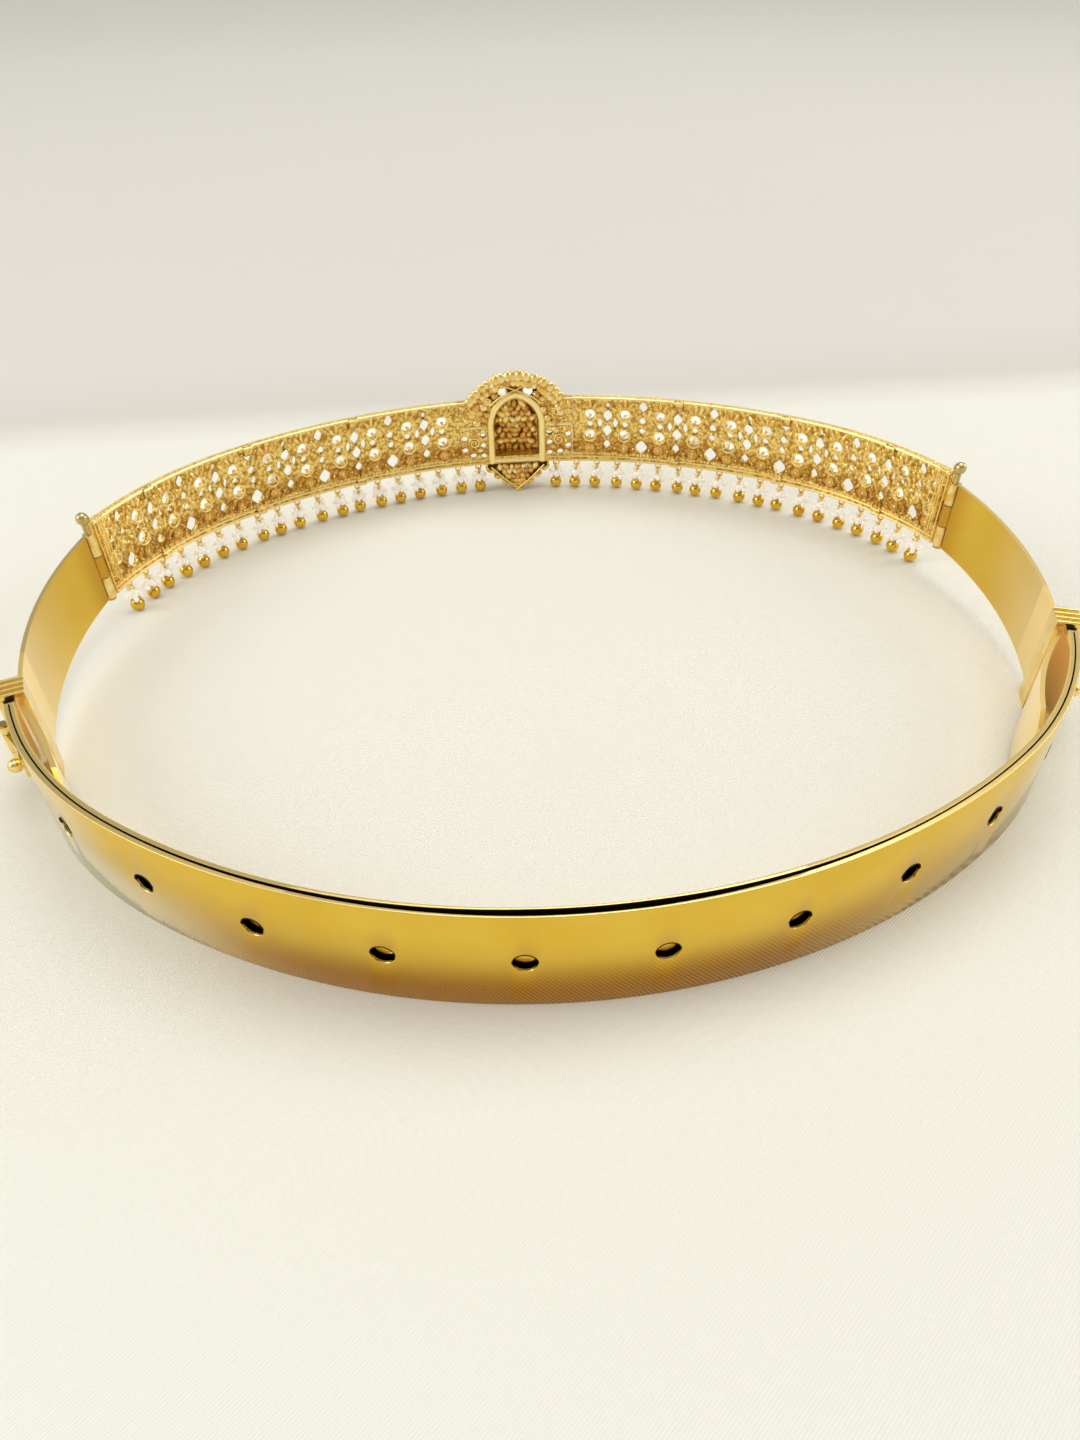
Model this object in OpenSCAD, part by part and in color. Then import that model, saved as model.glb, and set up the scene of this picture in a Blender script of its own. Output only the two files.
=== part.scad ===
// Oddiyanam: a gold waist belt, fastened into its worn loop and standing on its edge.
// The wearer looks along +Y, so the medallion is at +Y and the plain back strap at -Y.
// Lengths along the belt are measured on the path through the middle of the back strap.

/* [Loop] */
// Width of the loop, middle to middle of the straps
belt_w = 243.2; // [235.2:1:250.2]
// Depth of the loop, from back strap to front panel
belt_d = 198.4; // [192:0.2:204]
// Radius of the bend at each side
side_r = 88; // [84:0.5:91]

/* [Back strap] */
// Height of the back strap
strap_h = 25; // [24:0.5:27]
// Thickness of the hollow back strap
strap_t = 2.2; // [1.9:0.1:2.6]
// Thickness of the gold sheet that it is folded from
sheet_t = 0.5; // [0.4:0.05:0.6]
// Diameter of an adjusting hole
hole_d = 4.4; // [4:0.1:5]
// Distance between two adjusting holes along the strap
hole_pitch = 24.5; // [23:0.5:25.5]
// Length of the strap's tip that shows past the right keeper
tip_past = 5; // [2:0.5:8]
// Radius of the tip's corners
tip_r = 5; // [3:0.5:6]

/* [Side straps] */
// Height of a side strap at the panel hinge
side_h = 19; // [17:0.5:19.5]
// Height of a side strap at the clasp
side_clasp_h = 20.5; // [18:0.5:21.5]
// Thickness of a side strap
side_t = 1; // [0.8:0.1:1.2]
// Length of the right tongue past its keeper
tongue_right = 34; // [24:1:36]
// Length of the left tongue past its keeper
tongue_left = 29; // [24:1:36]
// How far the right tongue bows in from its chord
bow_right = 1.8; // [0.5:0.1:2.5]
// How far the left tongue bows in from its chord
bow_left = 0.7; // [0.5:0.1:2.5]

/* [Clasps] */
// Length of a keeper along the belt
keeper_l = 6.4; // [6:0.2:7]
// Wall of a keeper
keeper_wall = 0.8; // [0.7:0.05:0.9]
// Radius of a keeper's round ridges
ridge_r = 0.45; // [0.3:0.05:0.5]
// Distance from the peg to the middle of the keeper
keeper_reach = 10; // [9.6:0.2:11]
// Distance of the lever's pin behind the keeper's middle
lever_pin_back = 1.5; // [1.4:0.1:1.8]
// Radius of the lever's pin
lever_pin_r = 0.5; // [0.4:0.05:0.55]
// Radius of the knuckles round that pin
lever_knuckle_r = 1.05; // [0.95:0.05:1.15]
// Height of the lever's leaf
lever_h = 5; // [4:0.5:7]
// Thickness of the lever's leaf
lever_t = 0.9; // [0.7:0.1:1]
// Diameter of the ball grip
grip_d = 3.2; // [2.6:0.1:3.6]
// Diameter of the peg that drops into a hole
peg_d = 2.3; // [1.8:0.1:2.4]
// How far the peg reaches past the strap's outer skin
peg_past = 0.35; // [0.2:0.05:0.4]

/* [Front panel] */
// Half the length of the middle section, which carries the medallion
centre_half = 18.5; // [18:0.5:20]
// Length of each long section
section_l = 34; // [33:0.5:35]
// Length of the short end section
end_l = 21; // [20.5:0.5:22]
// Height of the panel
panel_h = 21.5; // [20.5:0.5:23]
// Thickness of the panel's plate
panel_t = 1.6; // [1.4:0.1:1.8]
// Height of the top rail
top_rail = 2.4; // [2:0.1:2.8]
// Height of the bottom rail
bottom_rail = 2.8; // [2.4:0.1:3]
// Outer diameter of a collet
collet_d = 4.2; // [4:0.1:4.4]
// Wall of a collet
collet_wall = 0.45; // [0.4:0.05:0.5]
// How far a collet stands out in front of the plate
collet_out = 0.8; // [0.5:0.1:1.2]
// Width and height of the plates that tie two sections together
tie = 3; // [2.5:0.1:3.4]

/* [Panel hinges] */
// Radius of the hinge pin
hinge_pin_r = 0.8; // [0.6:0.05:0.9]
// Outer radius of the hinge knuckles
knuckle_r = 1.6; // [1.5:0.05:1.8]
// Diameter of the pin's round head
head_d = 3.3; // [2.6:0.1:3.6]

/* [Drops] */
// Diameter of the gold ball
ball_d = 3.7; // [3.4:0.1:4]
// Diameter of the pearl
pearl_d = 2.5; // [2.2:0.1:2.7]
// Middle radius of each eye
eye_r = 0.85; // [0.75:0.05:0.95]
// Radius of the wire
wire_r = 0.25; // [0.2:0.01:0.28]

/* [Medallion] */
// Width of the medallion
med_w = 32.6; // [31:0.2:34]
// Height of the medallion
med_h = 38; // [36.5:0.5:39]
// Radius of one petal of the halo
petal_r = 3.4; // [3:0.1:3.6]
// How far the dome stands out in front of the panel's middle
dome_out = 8; // [7.5:0.5:9]
// Thickness of the dome's shell
dome_t = 1.5; // [1.2:0.1:1.7]
// Outer width of the arched window frame
arch_w = 18.7; // [18:0.1:19]
// Width of the frame's band
arch_band = 2.2; // [2:0.1:2.4]

/* [Hidden] */
$fn = 32;

// Counts
hole_count = 12;        // adjusting holes
columns = 3;            // columns of collets in one long section
drops_per_section = 5;  // drops under one long section
first_drop = -1;        // the drop under the medallion's flank; the next one is number 0
last_drop = 17;         // the drop at the panel's end

// Clearances
fit = 0.1;            // between pieces that are fixed to each other
slide = 0.15;         // between the keeper and what slides in it
pin_fit = 0.05;       // round a pin, on the radius
over = 0.5;           // how far a cutter runs past what it cuts

// The path: a wide arc at back and front, a tight arc at each side
half_d = belt_d / 2;
side_x = belt_w / 2 - side_r;
wide_r = (side_x * side_x + half_d * half_d - side_r * side_r) / (2 * (half_d - side_r));
wide_y = wide_r - half_d;
turn = atan2(wide_y, side_x);
wide_l = wide_r * (90 - turn) * PI / 180;
side_l = side_r * turn * PI / 90;
half_l = 2 * wide_l + side_l;

// Each arc: middle, radius, where it starts along the path and the angle there.
// The path starts at the middle of the back and runs over the wearer's right to the front.
ARCS = [
    [[-side_x, 0], side_r, -wide_l - side_l, 180 - turn],
    [[0, wide_y], wide_r, -wide_l, 180 + turn],
    [[side_x, 0], side_r, wide_l, -turn],
    [[0, -wide_y], wide_r, wide_l + side_l, turn],
    [[-side_x, 0], side_r, 3 * wide_l + side_l, 180 - turn]
];
function arc_of(s) = s < -wide_l ? 0 : s < wide_l ? 1 : s < wide_l + side_l ? 2
    : s < 3 * wide_l + side_l ? 3 : 4;
function arc_end(i) = ARCS[i][2] + (i % 2 == 0 ? side_l : 2 * wide_l);
function angle_at(i, s) = ARCS[i][3] + (s - ARCS[i][2]) / ARCS[i][1] * 180 / PI;
function heading(s) = angle_at(arc_of(s), s);
function spot(s, off) = ARCS[arc_of(s)][0]
    + (ARCS[arc_of(s)][1] + off) * [cos(heading(s)), sin(heading(s))];

// Panel and side straps run inside the back strap
side_off = -(strap_t / 2 + 2 * fit + side_t / 2);
// The loop is set along Y so that the whole belt is centred on the origin
loop_y = -(dome_out - strap_t / 2 + side_off) / 2;

// Heights
hole_z = strap_h / 2;
drop_eye_z = ball_d + pearl_d + 3 * fit + eye_r + wire_r;
eyelet_z = drop_eye_z + 2 * eye_r - 2 * wire_r - 1.5 * fit;
panel_z = eyelet_z + eye_r;
panel_top = panel_z + panel_h;

// Lengths along the path
peg_s = (hole_count - 1) / 2 * hole_pitch;
keeper_s = peg_s + keeper_reach;
neck_s = (peg_s + hole_d / 2 + keeper_s - keeper_l / 2) / 2;
neck_h = strap_h - 2 * (keeper_wall + slide);
front_l = centre_half + 3 * section_l + end_l;
hinge_s = half_l - front_l - knuckle_r - 2 * fit;
column_pitch = section_l / columns;
drop_pitch = section_l / drops_per_section;

// Moves children to a place on the path: local x points out, local y on along the path
module at(s, off = 0) {
    place = spot(s, off);
    translate([place[0], place[1] + loop_y, 0]) rotate(heading(s)) children();
}

// A flat outline, drawn along the belt and upwards, made a plate of thickness t across the path
module across(t) {
    rotate([90, 0, 90]) linear_extrude(t, center = true) children();
}

// A stretch of band of length l on an arc of radius r about the local origin
module stretch(r, l, off, t, z0, z1) {
    rotate_extrude(angle = l / r * 180 / PI, $fn = 180)
        translate([r + off - t / 2, z0]) square([t, z1 - z0]);
}

// A band along the path from s0 to s1, t thick, from z0 to z1. Where it runs over from one
// arc to the next, both are swept away from the place where they meet, so they fit exactly.
module band(s0, s1, off, t, z0, z1) {
    for (i = [0 : len(ARCS) - 1]) {
        a = max(s0, ARCS[i][2]);
        b = min(s1, arc_end(i));
        r = ARCS[i][1];
        if (b > a && b < s1)
            at(b) translate([-r, 0, 0]) mirror([0, 1, 0]) stretch(r, b - a, off, t, z0, z1);
        else if (b > a && a > s0)
            at(a) translate([-r, 0, 0]) stretch(r, b - a, off, t, z0, z1);
        else if (b > a)
            translate([ARCS[i][0][0], ARCS[i][0][1] + loop_y, 0])
                rotate(angle_at(i, a)) stretch(r, b - a, off, t, z0, z1);
    }
}

module on_left() {
    mirror([1, 0, 0]) children();
}

// Half of the back strap, from its middle to end_s: two skins with closed edges and a hollow
// between them, holes in the outer skin, and a solid, slightly lower neck that slides in a keeper
module back_half(end_s) {
    neck_z = (strap_h - neck_h) / 2;
    in_t = strap_t - 2 * sheet_t;
    difference() {
        intersection() {
            band(-over, end_s, 0, strap_t, 0, strap_h);
            translate([0, -belt_d, -over]) cube([belt_w, 2 * belt_d, strap_h + 2 * over]);
        }
        band(-2 * over, neck_s - sheet_t, 0, in_t, sheet_t, strap_h - sheet_t);
        for (z = [-over, neck_z + neck_h])
            band(neck_s, end_s + over, 0, 2 * strap_t, z, z + neck_z + over);
        for (i = [hole_count / 2 : hole_count - 1])
            at((i - (hole_count - 1) / 2) * hole_pitch)
                translate([0, 0, hole_z]) rotate([0, 90, 0]) cylinder(d = hole_d, h = strap_t);
    }
}

// The back strap, with the rounded tip of its right end
module back_strap() {
    end_left = keeper_s + keeper_l / 2;
    end_right = end_left + tip_past;
    color("gold") union() {
        difference() {
            back_half(end_right);
            for (up = [0, 1])
                at(end_right) translate([0, 0, (strap_h - neck_h) / 2 + up * neck_h])
                    mirror([0, 0, up]) across(2 * strap_t) difference() {
                        translate([-tip_r, -over]) square([tip_r + over, tip_r + over]);
                        translate([-tip_r, tip_r]) circle(tip_r + fit);
                    }
        }
        on_left() back_half(end_left);
    }
}

// A side strap on the wearer's right: hinge knuckle, curved sheet and bowed tongue
module side_strap(tongue_l, bow) {
    hinge_z = panel_z + side_h / 2;
    sheet_start = hinge_s - knuckle_r - 2 * fit;
    tongue_s = keeper_s - keeper_l / 2;
    p = spot(tongue_s, side_off);
    e = spot(tongue_s - tongue_l, side_off);
    chord = norm(e - p);
    out = [(p - e)[1], -(p - e)[0]] / chord;
    tongue_r = (chord * chord / 4 + bow * bow) / (2 * bow);
    c = (p + e) / 2 + (tongue_r - bow) * out;
    to_p = atan2((p - c)[1], (p - c)[0]);
    to_e = atan2((e - c)[1], (e - c)[0]);
    sweep = (to_e - to_p + 540) % 360 - 180;
    clasp_z = hole_z - side_clasp_h / 2;
    y_hinge = spot(hinge_s, side_off)[1];
    y_clasp = p[1];
    y_tip = e[1] - side_t;
    tip = 4;
    color("gold") {
        intersection() {
            union() {
                band(tongue_s, sheet_start, side_off, side_t, 0, panel_top);
                translate([p[0], p[1] + loop_y, 0]) cylinder(d = side_t, h = panel_top);
                translate([c[0], c[1] + loop_y, 0]) rotate(min(to_p, to_p + sweep))
                    rotate_extrude(angle = abs(sweep), $fn = 180)
                        translate([tongue_r - side_t / 2, 0]) square([side_t, panel_top]);
            }
            translate([0, loop_y, 0]) rotate([90, 0, 90]) linear_extrude(belt_w) polygon([
                [y_hinge + side_t, panel_z], [y_hinge + side_t, panel_z + side_h],
                [y_hinge - knuckle_r, panel_z + side_h],
                [y_clasp + keeper_l, clasp_z + side_clasp_h], [y_tip + tip, clasp_z + side_clasp_h],
                [y_tip, clasp_z + side_clasp_h - tip], [y_tip, clasp_z + tip],
                [y_tip + tip, clasp_z], [y_clasp + keeper_l, clasp_z],
                [y_hinge - knuckle_r, panel_z]]);
        }
        hinge_knuckle(1, -1);
    }
}

// One hinge knuckle with its web, for level 0, 1 or 2 counted upwards; towards is its sheet's side
module hinge_knuckle(level, towards) {
    knuckle_h = side_h / 3;
    z0 = panel_z + level * knuckle_h + fit;
    reach = knuckle_r + 4 * fit;
    at(hinge_s, side_off) difference() {
        union() {
            translate([0, 0, z0]) cylinder(r = knuckle_r, h = knuckle_h - 2 * fit);
            translate([-side_t / 2, towards > 0 ? 0 : -reach, z0])
                cube([side_t, reach, knuckle_h - 2 * fit]);
        }
        translate([0, 0, z0 - over])
            cylinder(r = hinge_pin_r + pin_fit, h = knuckle_h + 2 * over);
    }
}

// The keeper on the wearer's right, drawn where its middle crosses the path
module keeper() {
    inner = side_off - side_t / 2 - slide;
    outer = strap_t / 2 + slide;
    color("goldenrod") at(keeper_s) {
        difference() {
            translate([inner - keeper_wall, -keeper_l / 2, 0])
                cube([outer - inner + 2 * keeper_wall, keeper_l, strap_h]);
            translate([inner, -keeper_l / 2 - over, keeper_wall])
                cube([outer - inner, keeper_l + 2 * over, strap_h - 2 * keeper_wall]);
        }
        for (i = [-1.5 : 1 : 1.5]) {
            y = i * (keeper_l - 2 * ridge_r) / 3;
            translate([outer + keeper_wall, y, 0]) cylinder(r = ridge_r, h = strap_h);
            translate([inner - keeper_wall, y, strap_h]) rotate([0, 90, 0])
                cylinder(r = ridge_r, h = outer - inner + 2 * keeper_wall);
            translate([outer + keeper_wall, y, strap_h]) sphere(r = ridge_r);
        }
        for (up = [0, 1])
            translate([0, 0, up * 2 * hole_z]) mirror([0, 0, up]) lug();
    }
}

// Where the lever's pin stands, in the keeper's own frame
lever_x = strap_t / 2 + slide + keeper_wall + ridge_r + fit + lever_knuckle_r;
lug_h = 2;

// The lug below the lever; its mirror image stands above
module lug() {
    z0 = hole_z - lever_h / 2 - fit - lug_h;
    face = strap_t / 2 + slide + keeper_wall / 2;
    difference() {
        union() {
            translate([lever_x, -lever_pin_back, z0]) cylinder(r = lever_knuckle_r, h = lug_h);
            translate([face, -lever_pin_back - lever_knuckle_r, z0])
                cube([lever_x - face, 2 * lever_knuckle_r, lug_h]);
        }
        translate([lever_x, -lever_pin_back, z0 - over])
            cylinder(r = lever_pin_r + pin_fit, h = lug_h + 2 * over);
    }
}

// The pin that the lever turns on, with a flat head above and below
module lever_pin() {
    head_h = 0.4;
    reach = lever_h / 2 + fit + lug_h + fit;
    color("darkgoldenrod") at(keeper_s) translate([lever_x, -lever_pin_back, hole_z]) {
        translate([0, 0, -reach]) cylinder(r = lever_pin_r, h = 2 * reach);
        translate([0, 0, reach]) cylinder(r = lever_knuckle_r, h = head_h);
        translate([0, 0, -reach - head_h]) cylinder(r = lever_knuckle_r, h = head_h);
    }
}

// The lever: knuckle, leaf that runs in to the strap, pad over the hole, ball grip and peg
module lever() {
    pad_x = strap_t / 2 + slide + lever_t / 2;
    pad_half = 2;
    bend = (keeper_reach - pad_half) / side_r * 180 / PI;
    pad_end = [(side_r + pad_x) * cos(bend) - side_r, -(side_r + pad_x) * sin(bend)];
    from = [lever_x, -lever_pin_back];
    leaf = pad_end - from;
    color("gold") difference() {
        union() {
            at(keeper_s) {
                translate([from[0], from[1], hole_z - lever_h / 2])
                    cylinder(r = lever_knuckle_r, h = lever_h);
                translate([from[0], from[1], hole_z]) rotate(atan2(leaf[1], leaf[0]))
                    translate([0, -lever_t / 2, -lever_h / 2])
                        cube([norm(leaf), lever_t, lever_h]);
                translate([pad_end[0], pad_end[1], hole_z - lever_h / 2])
                    cylinder(d = lever_t, h = lever_h);
            }
            at(peg_s) translate([0, 0, hole_z]) {
                translate([pad_x - lever_t / 2, -pad_half, -lever_h / 2])
                    cube([lever_t, 2 * pad_half, lever_h]);
                translate([pad_x + (lever_t + grip_d) / 2 - 2 * fit, 0, 0]) sphere(d = grip_d);
                translate([strap_t / 2 - sheet_t - peg_past, 0, 0]) rotate([0, 90, 0])
                    cylinder(d = peg_d, h = pad_x - strap_t / 2 + sheet_t + peg_past);
            }
        }
        at(keeper_s) translate([from[0], from[1], hole_z - lever_h])
            cylinder(r = lever_pin_r + pin_fit, h = 2 * lever_h);
    }
}

// The panel's hinge pin, with its round head above and a flat foot below
module hinge_pin() {
    foot_h = 0.5;
    foot_r = 1.3;
    neck_top = panel_top + fit;
    color("darkgoldenrod") at(hinge_s, side_off) {
        translate([0, 0, panel_z - fit]) cylinder(r = hinge_pin_r, h = neck_top - panel_z + head_d / 2);
        translate([0, 0, panel_z - fit - foot_h]) cylinder(r = foot_r, h = foot_h);
        translate([0, 0, neck_top + head_d / 2]) sphere(d = head_d);
    }
}

// Length along the panel from the middle of the front, turned into a place on the path
function from_front(u) = half_l - u;
function section_start(k) = centre_half + (k - 1) * section_l;
function section_end(k) = k == 4 ? front_l : centre_half + k * section_l;
function column_u(k) = centre_half + (k + 0.5) * column_pitch;
upper_z = panel_z + 0.725 * panel_h;
lower_z = panel_z + 0.415 * panel_h;
boss_z = panel_z + 0.22 * panel_h;
between_d = upper_z - lower_z - collet_d - 2 * collet_wall;

// Openings of the lattice between two columns of collets. Each row gives where it is and
// how big it is: along the belt, up the panel, width, height, as shares of the column
// pitch and of the panel's height.
FLOWER = [[0, 0.71, 0.26, 0.19], [0, 0.48, 0.26, 0.19], [-0.22, 0.595, 0.13, 0.16],
          [0.22, 0.595, 0.13, 0.16], [0, 0.87, 0.12, 0.09], [0, 0.27, 0.2, 0.14]];
DIAMOND = [[0, 0.86, 0.24, 0.17], [0, 0.645, 0.2, 0.13], [0, 0.495, 0.18, 0.11],
           [0, 0.24, 0.34, 0.22]];

// Width and height of the slot beside the hinge
END_SLOT = [0.6, 0.66 * panel_h];

// Pointed oval opening
module leaf_hole(w, h) {
    polygon([[0, h / 2], [w * 0.36, h * 0.22], [w / 2, 0], [w * 0.36, -h * 0.22],
             [0, -h / 2], [-w * 0.36, -h * 0.22], [-w / 2, 0], [-w * 0.36, h * 0.22]]);
}

// The openings of one cell whose middle lies u along the panel
module openings(u, table) {
    for (row = table)
        at(from_front(u + row[0] * column_pitch), side_off)
            translate([0, 0, panel_z + row[1] * panel_h])
                across(4 * panel_t) leaf_hole(row[2] * column_pitch, row[3] * panel_h);
}

// An eyelet under the bottom rail, facing front
module eyelet(u) {
    at(from_front(u), side_off) translate([0, 0, eyelet_z]) rotate([0, 90, 0])
        rotate_extrude($fn = 24) translate([eye_r, 0]) circle(wire_r, $fn = 16);
}

// Columns, cells and drops of section k
function first_column(k) = columns * (k - 1);
function last_column(k) = k == 4 ? columns * 3 + 1 : columns * k - 1;
drop_shift = -2;
function drop_u(j) = centre_half + (j + 0.5) * drop_pitch + drop_shift;
DROPS = [first_drop : last_drop];

// One pierced section of the panel on the wearer's right
module panel_section(k) {
    u0 = section_start(k) + fit / 2;
    u1 = section_end(k) - (k == 4 ? 0 : fit / 2);
    color("gold") {
        difference() {
            union() {
                band(from_front(u1), from_front(u0), side_off, panel_t, panel_z, panel_top);
                for (i = [first_column(k) : last_column(k)], z = [upper_z, lower_z])
                    at(from_front(column_u(i)), side_off) translate([-panel_t / 2, 0, z])
                        rotate([0, 90, 0]) cylinder(d = collet_d, h = panel_t + collet_out, $fn = 12);
                for (i = [first_column(k) : last_column(k)])
                    at(from_front(column_u(i)), side_off) translate([-panel_t / 2 - 2 * fit, 0, boss_z])
                        rotate([0, 90, 0]) cylinder(d = collet_d * 0.75, h = panel_t + 4 * fit, $fn = 12);
            }
            for (i = [first_column(k) : last_column(k)], z = [upper_z, lower_z])
                at(from_front(column_u(i)), side_off) translate([0, 0, z]) seat();
            for (i = [first_column(k) : last_column(k)])
                at(from_front(column_u(i)), side_off) translate([0, 0, (upper_z + lower_z) / 2])
                    rotate([0, 90, 0]) cylinder(d = between_d, h = 4 * panel_t, center = true, $fn = 12);
            for (i = [first_column(k) - 1 : last_column(k)])
                if (i >= 0 && i < last_column(4))
                    openings(column_u(i) + column_pitch / 2, i % 2 == 0 ? FLOWER : DIAMOND);
            if (k == 4)
                at(from_front(u1 - 1.5 * END_SLOT[0]), side_off)
                    translate([0, 0, panel_z + panel_h / 2])
                        across(4 * panel_t) square(END_SLOT, center = true);
        }
        for (j = DROPS)
            if (drop_u(j) > u0 && drop_u(j) < u1) eyelet(drop_u(j));
        if (k < 4) tie_plates(u1);
        if (k == 4) {
            hinge_knuckle(0, 1);
            hinge_knuckle(2, 1);
        }
    }
}

// Two square plates on the back of a section, which lap over the next section
module tie_plates(u) {
    plate_t = 0.6;
    for (z = [panel_z + bottom_rail / 2, panel_top - top_rail / 2])
        at(from_front(u), side_off) {
            translate([-panel_t / 2 - fit - plate_t, -tie / 2, z - tie / 2])
                cube([plate_t, tie, tie]);
            translate([-panel_t / 2 - fit - plate_t / 2, fit, z - tie / 2])
                cube([plate_t, tie / 2 - fit, tie]);
        }
}

// The seat of a stone: wide in front, narrow behind, so that light comes through
module seat() {
    r = collet_d / 2 - collet_wall;
    ledge = 0.35;
    rotate([0, 90, 0]) {
        cylinder(r = r - ledge, h = 4 * panel_t, center = true, $fn = 12);
        cylinder(r = r, h = 2 * panel_t, $fn = 12);
    }
}

// A cut stone with an eight-sided table, eight crown facets and eight pavilion facets
module cut_stone(d) {
    crown_h = 0.16 * d;
    rotate([0, 90, 0]) {
        cylinder(d1 = d, d2 = 0.6 * d, h = crown_h, $fn = 8);
        translate([0, 0, -0.3 * d]) cylinder(d1 = 0.24 * d, d2 = d, h = 0.3 * d, $fn = 8);
    }
}

// The stones of the right half of the panel
module panel_stones() {
    stone_d = 2 * ((collet_d / 2 - collet_wall) * cos(15) - fit);
    color("white") for (i = [0 : last_column(4)], z = [upper_z, lower_z])
        at(from_front(column_u(i)), side_off)
            translate([fit + 0.3 * stone_d, 0, z]) cut_stone(stone_d);
}

// One drop: eye, stem and ball, which hangs in the eyelet above it
module drop_wire() {
    stem_r = wire_r * 1.1;
    translate([0, 0, drop_eye_z]) rotate([90, 0, 0])
        rotate_extrude($fn = 24) translate([eye_r, 0]) circle(wire_r, $fn = 16);
    translate([0, 0, ball_d / 2]) cylinder(r = stem_r, h = drop_eye_z - eye_r - ball_d / 2, $fn = 16);
    translate([0, 0, ball_d / 2]) sphere(d = ball_d);
}

module drops() {
    color("gold") for (j = DROPS) at(from_front(drop_u(j)), side_off) drop_wire();
}

// The drilled pearls on the stems
module pearls() {
    color("ivory") for (j = DROPS) at(from_front(drop_u(j)), side_off)
        translate([0, 0, ball_d + fit + pearl_d / 2]) difference() {
            sphere(d = pearl_d);
            cylinder(r = wire_r * 1.1 + fit, h = 2 * pearl_d, center = true, $fn = 16);
        }
}

// Flat shapes of the medallion, across and up, with its middle at x = 0 and its foot at z = 0
halo_r = med_w / 2 - petal_r;
halo_z = med_h - petal_r - halo_r - 0.8;
arch_z0 = panel_z + 0.4;
arch_spring = panel_z + 0.6 * panel_h;
petal_step = 22.5;
dome_r = 30;
skirt = 0.93;
rim_out = 0.4;  // how far the medallion's back rim stands behind the panel's plate

// Middles of the stones in the halo, and how high the dome is there
HALO = [for (a = [0 : 2 * petal_step : 180]) [cos(a) * halo_r, halo_z + sin(a) * halo_r]];
function dome_y(p) = half_d + side_off + loop_y + dome_out - dome_r
    + sqrt(dome_r * dome_r - p[0] * p[0] - (p[1] - med_h / 2) * (p[1] - med_h / 2));

// The round leaves along one edge of the foot: across and up, as shares of the foot's size
FOOT_LEAVES = [[0.88, 0.82], [0.62, 0.58], [0.36, 0.35]];

// Outline: a halo of petals above, the window's sides, and a pointed foot edged with leaves
module medallion_outline() {
    side = arch_w / 2 + dome_t / 2;
    intersection() {
        translate([0, halo_z]) {
            circle(halo_r + petal_r / 3);
            for (a = [0 : petal_step : 180])
                rotate(a) translate([halo_r, 0]) circle(petal_r);
        }
        translate([-med_w, halo_z - dome_t]) square([2 * med_w, med_h]);
    }
    translate([0, med_h - petal_r]) polygon([[-petal_r * 0.6, 0], [petal_r * 0.6, 0], [0, petal_r]]);
    polygon([[-side, halo_z], [side, halo_z], [side, arch_z0], [0, 0], [-side, arch_z0]]);
    for (way = [-1, 1], row = FOOT_LEAVES)
        translate([way * row[0] * side, row[1] * arch_z0]) circle(petal_r / 2);
}

// The arched window: straight sides and a pointed top of two arcs
arch_point = 0.62;
module arch(w) {
    r = arch_point * w;
    z0 = arch_z0 + (arch_w - w) / 2;
    translate([-w / 2, z0]) square([w, arch_spring - z0]);
    intersection() {
        translate([r - w / 2, arch_spring]) circle(r, $fn = 96);
        translate([w / 2 - r, arch_spring]) circle(r, $fn = 96);
    }
}

// Stands a flat shape up in the plane of the panel and thickens it from y0 to y1 outwards
module upright(y0, y1) {
    translate([0, half_d + side_off + loop_y + y1, 0])
        rotate([90, 0, 0]) linear_extrude(y1 - y0) children();
}

// A sphere whose front stands out by out at mid height
module dome(out, r) {
    translate([0, half_d + side_off + loop_y + out - r, med_h / 2]) sphere(r = r, $fn = 96);
}

// Stands children up on the dome, so that their z axis points forwards
seat_depth = 0.3;
module on_dome(p, rise) {
    translate([p[0], dome_y(p) + rise, p[1]]) rotate([-90, 0, 0]) children();
}

// The medallion with the middle section of the panel
module medallion() {
    front = dome_out;
    back = -panel_t / 2 - rim_out;
    color("gold") {
        difference() {
            union() {
                difference() {
                    intersection() {
                        upright(back, front + 1) medallion_outline();
                        dome(front, dome_r);
                    }
                    intersection() {
                        upright(back - 1, front + 1)
                            translate([0, med_h / 2 * (1 - skirt)]) scale(skirt) medallion_outline();
                        dome(front - dome_t, dome_r - dome_t);
                    }
                }
                intersection() {
                    upright(back, front + 1) arch(arch_w);
                    dome(front, dome_r);
                }
                band(from_front(centre_half - fit / 2), from_front(fit / 2 - centre_half),
                    side_off, panel_t, panel_z, panel_top);
                for (p = HALO) on_dome(p, -dome_t / 2) cylinder(d = petal_r + 2 * collet_wall,
                    h = dome_t / 2 + collet_out);
            }
            upright(back - 1, front + 1) arch(arch_w - 2 * arch_band);
            medallion_gaps(back - 1, front + 1);
            for (p = HALO) on_dome(p, -seat_depth) cylinder(d = petal_r + 2 * fit, h = dome_t + dome_out);
        }
        for (side = [-1, 1])
            eyelet(side * drop_u(first_drop));
    }
}

// Round gaps beside the window, in the flat flanks: shares of half the medallion's width
// and of the height from the panel's foot to the middle of the halo
FLANK = [[0.66, 0.88], [0.66, 0.56], [0.66, 0.25], [1.03, 0.8], [1.03, 0.46], [0.87, 0.28]];

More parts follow.
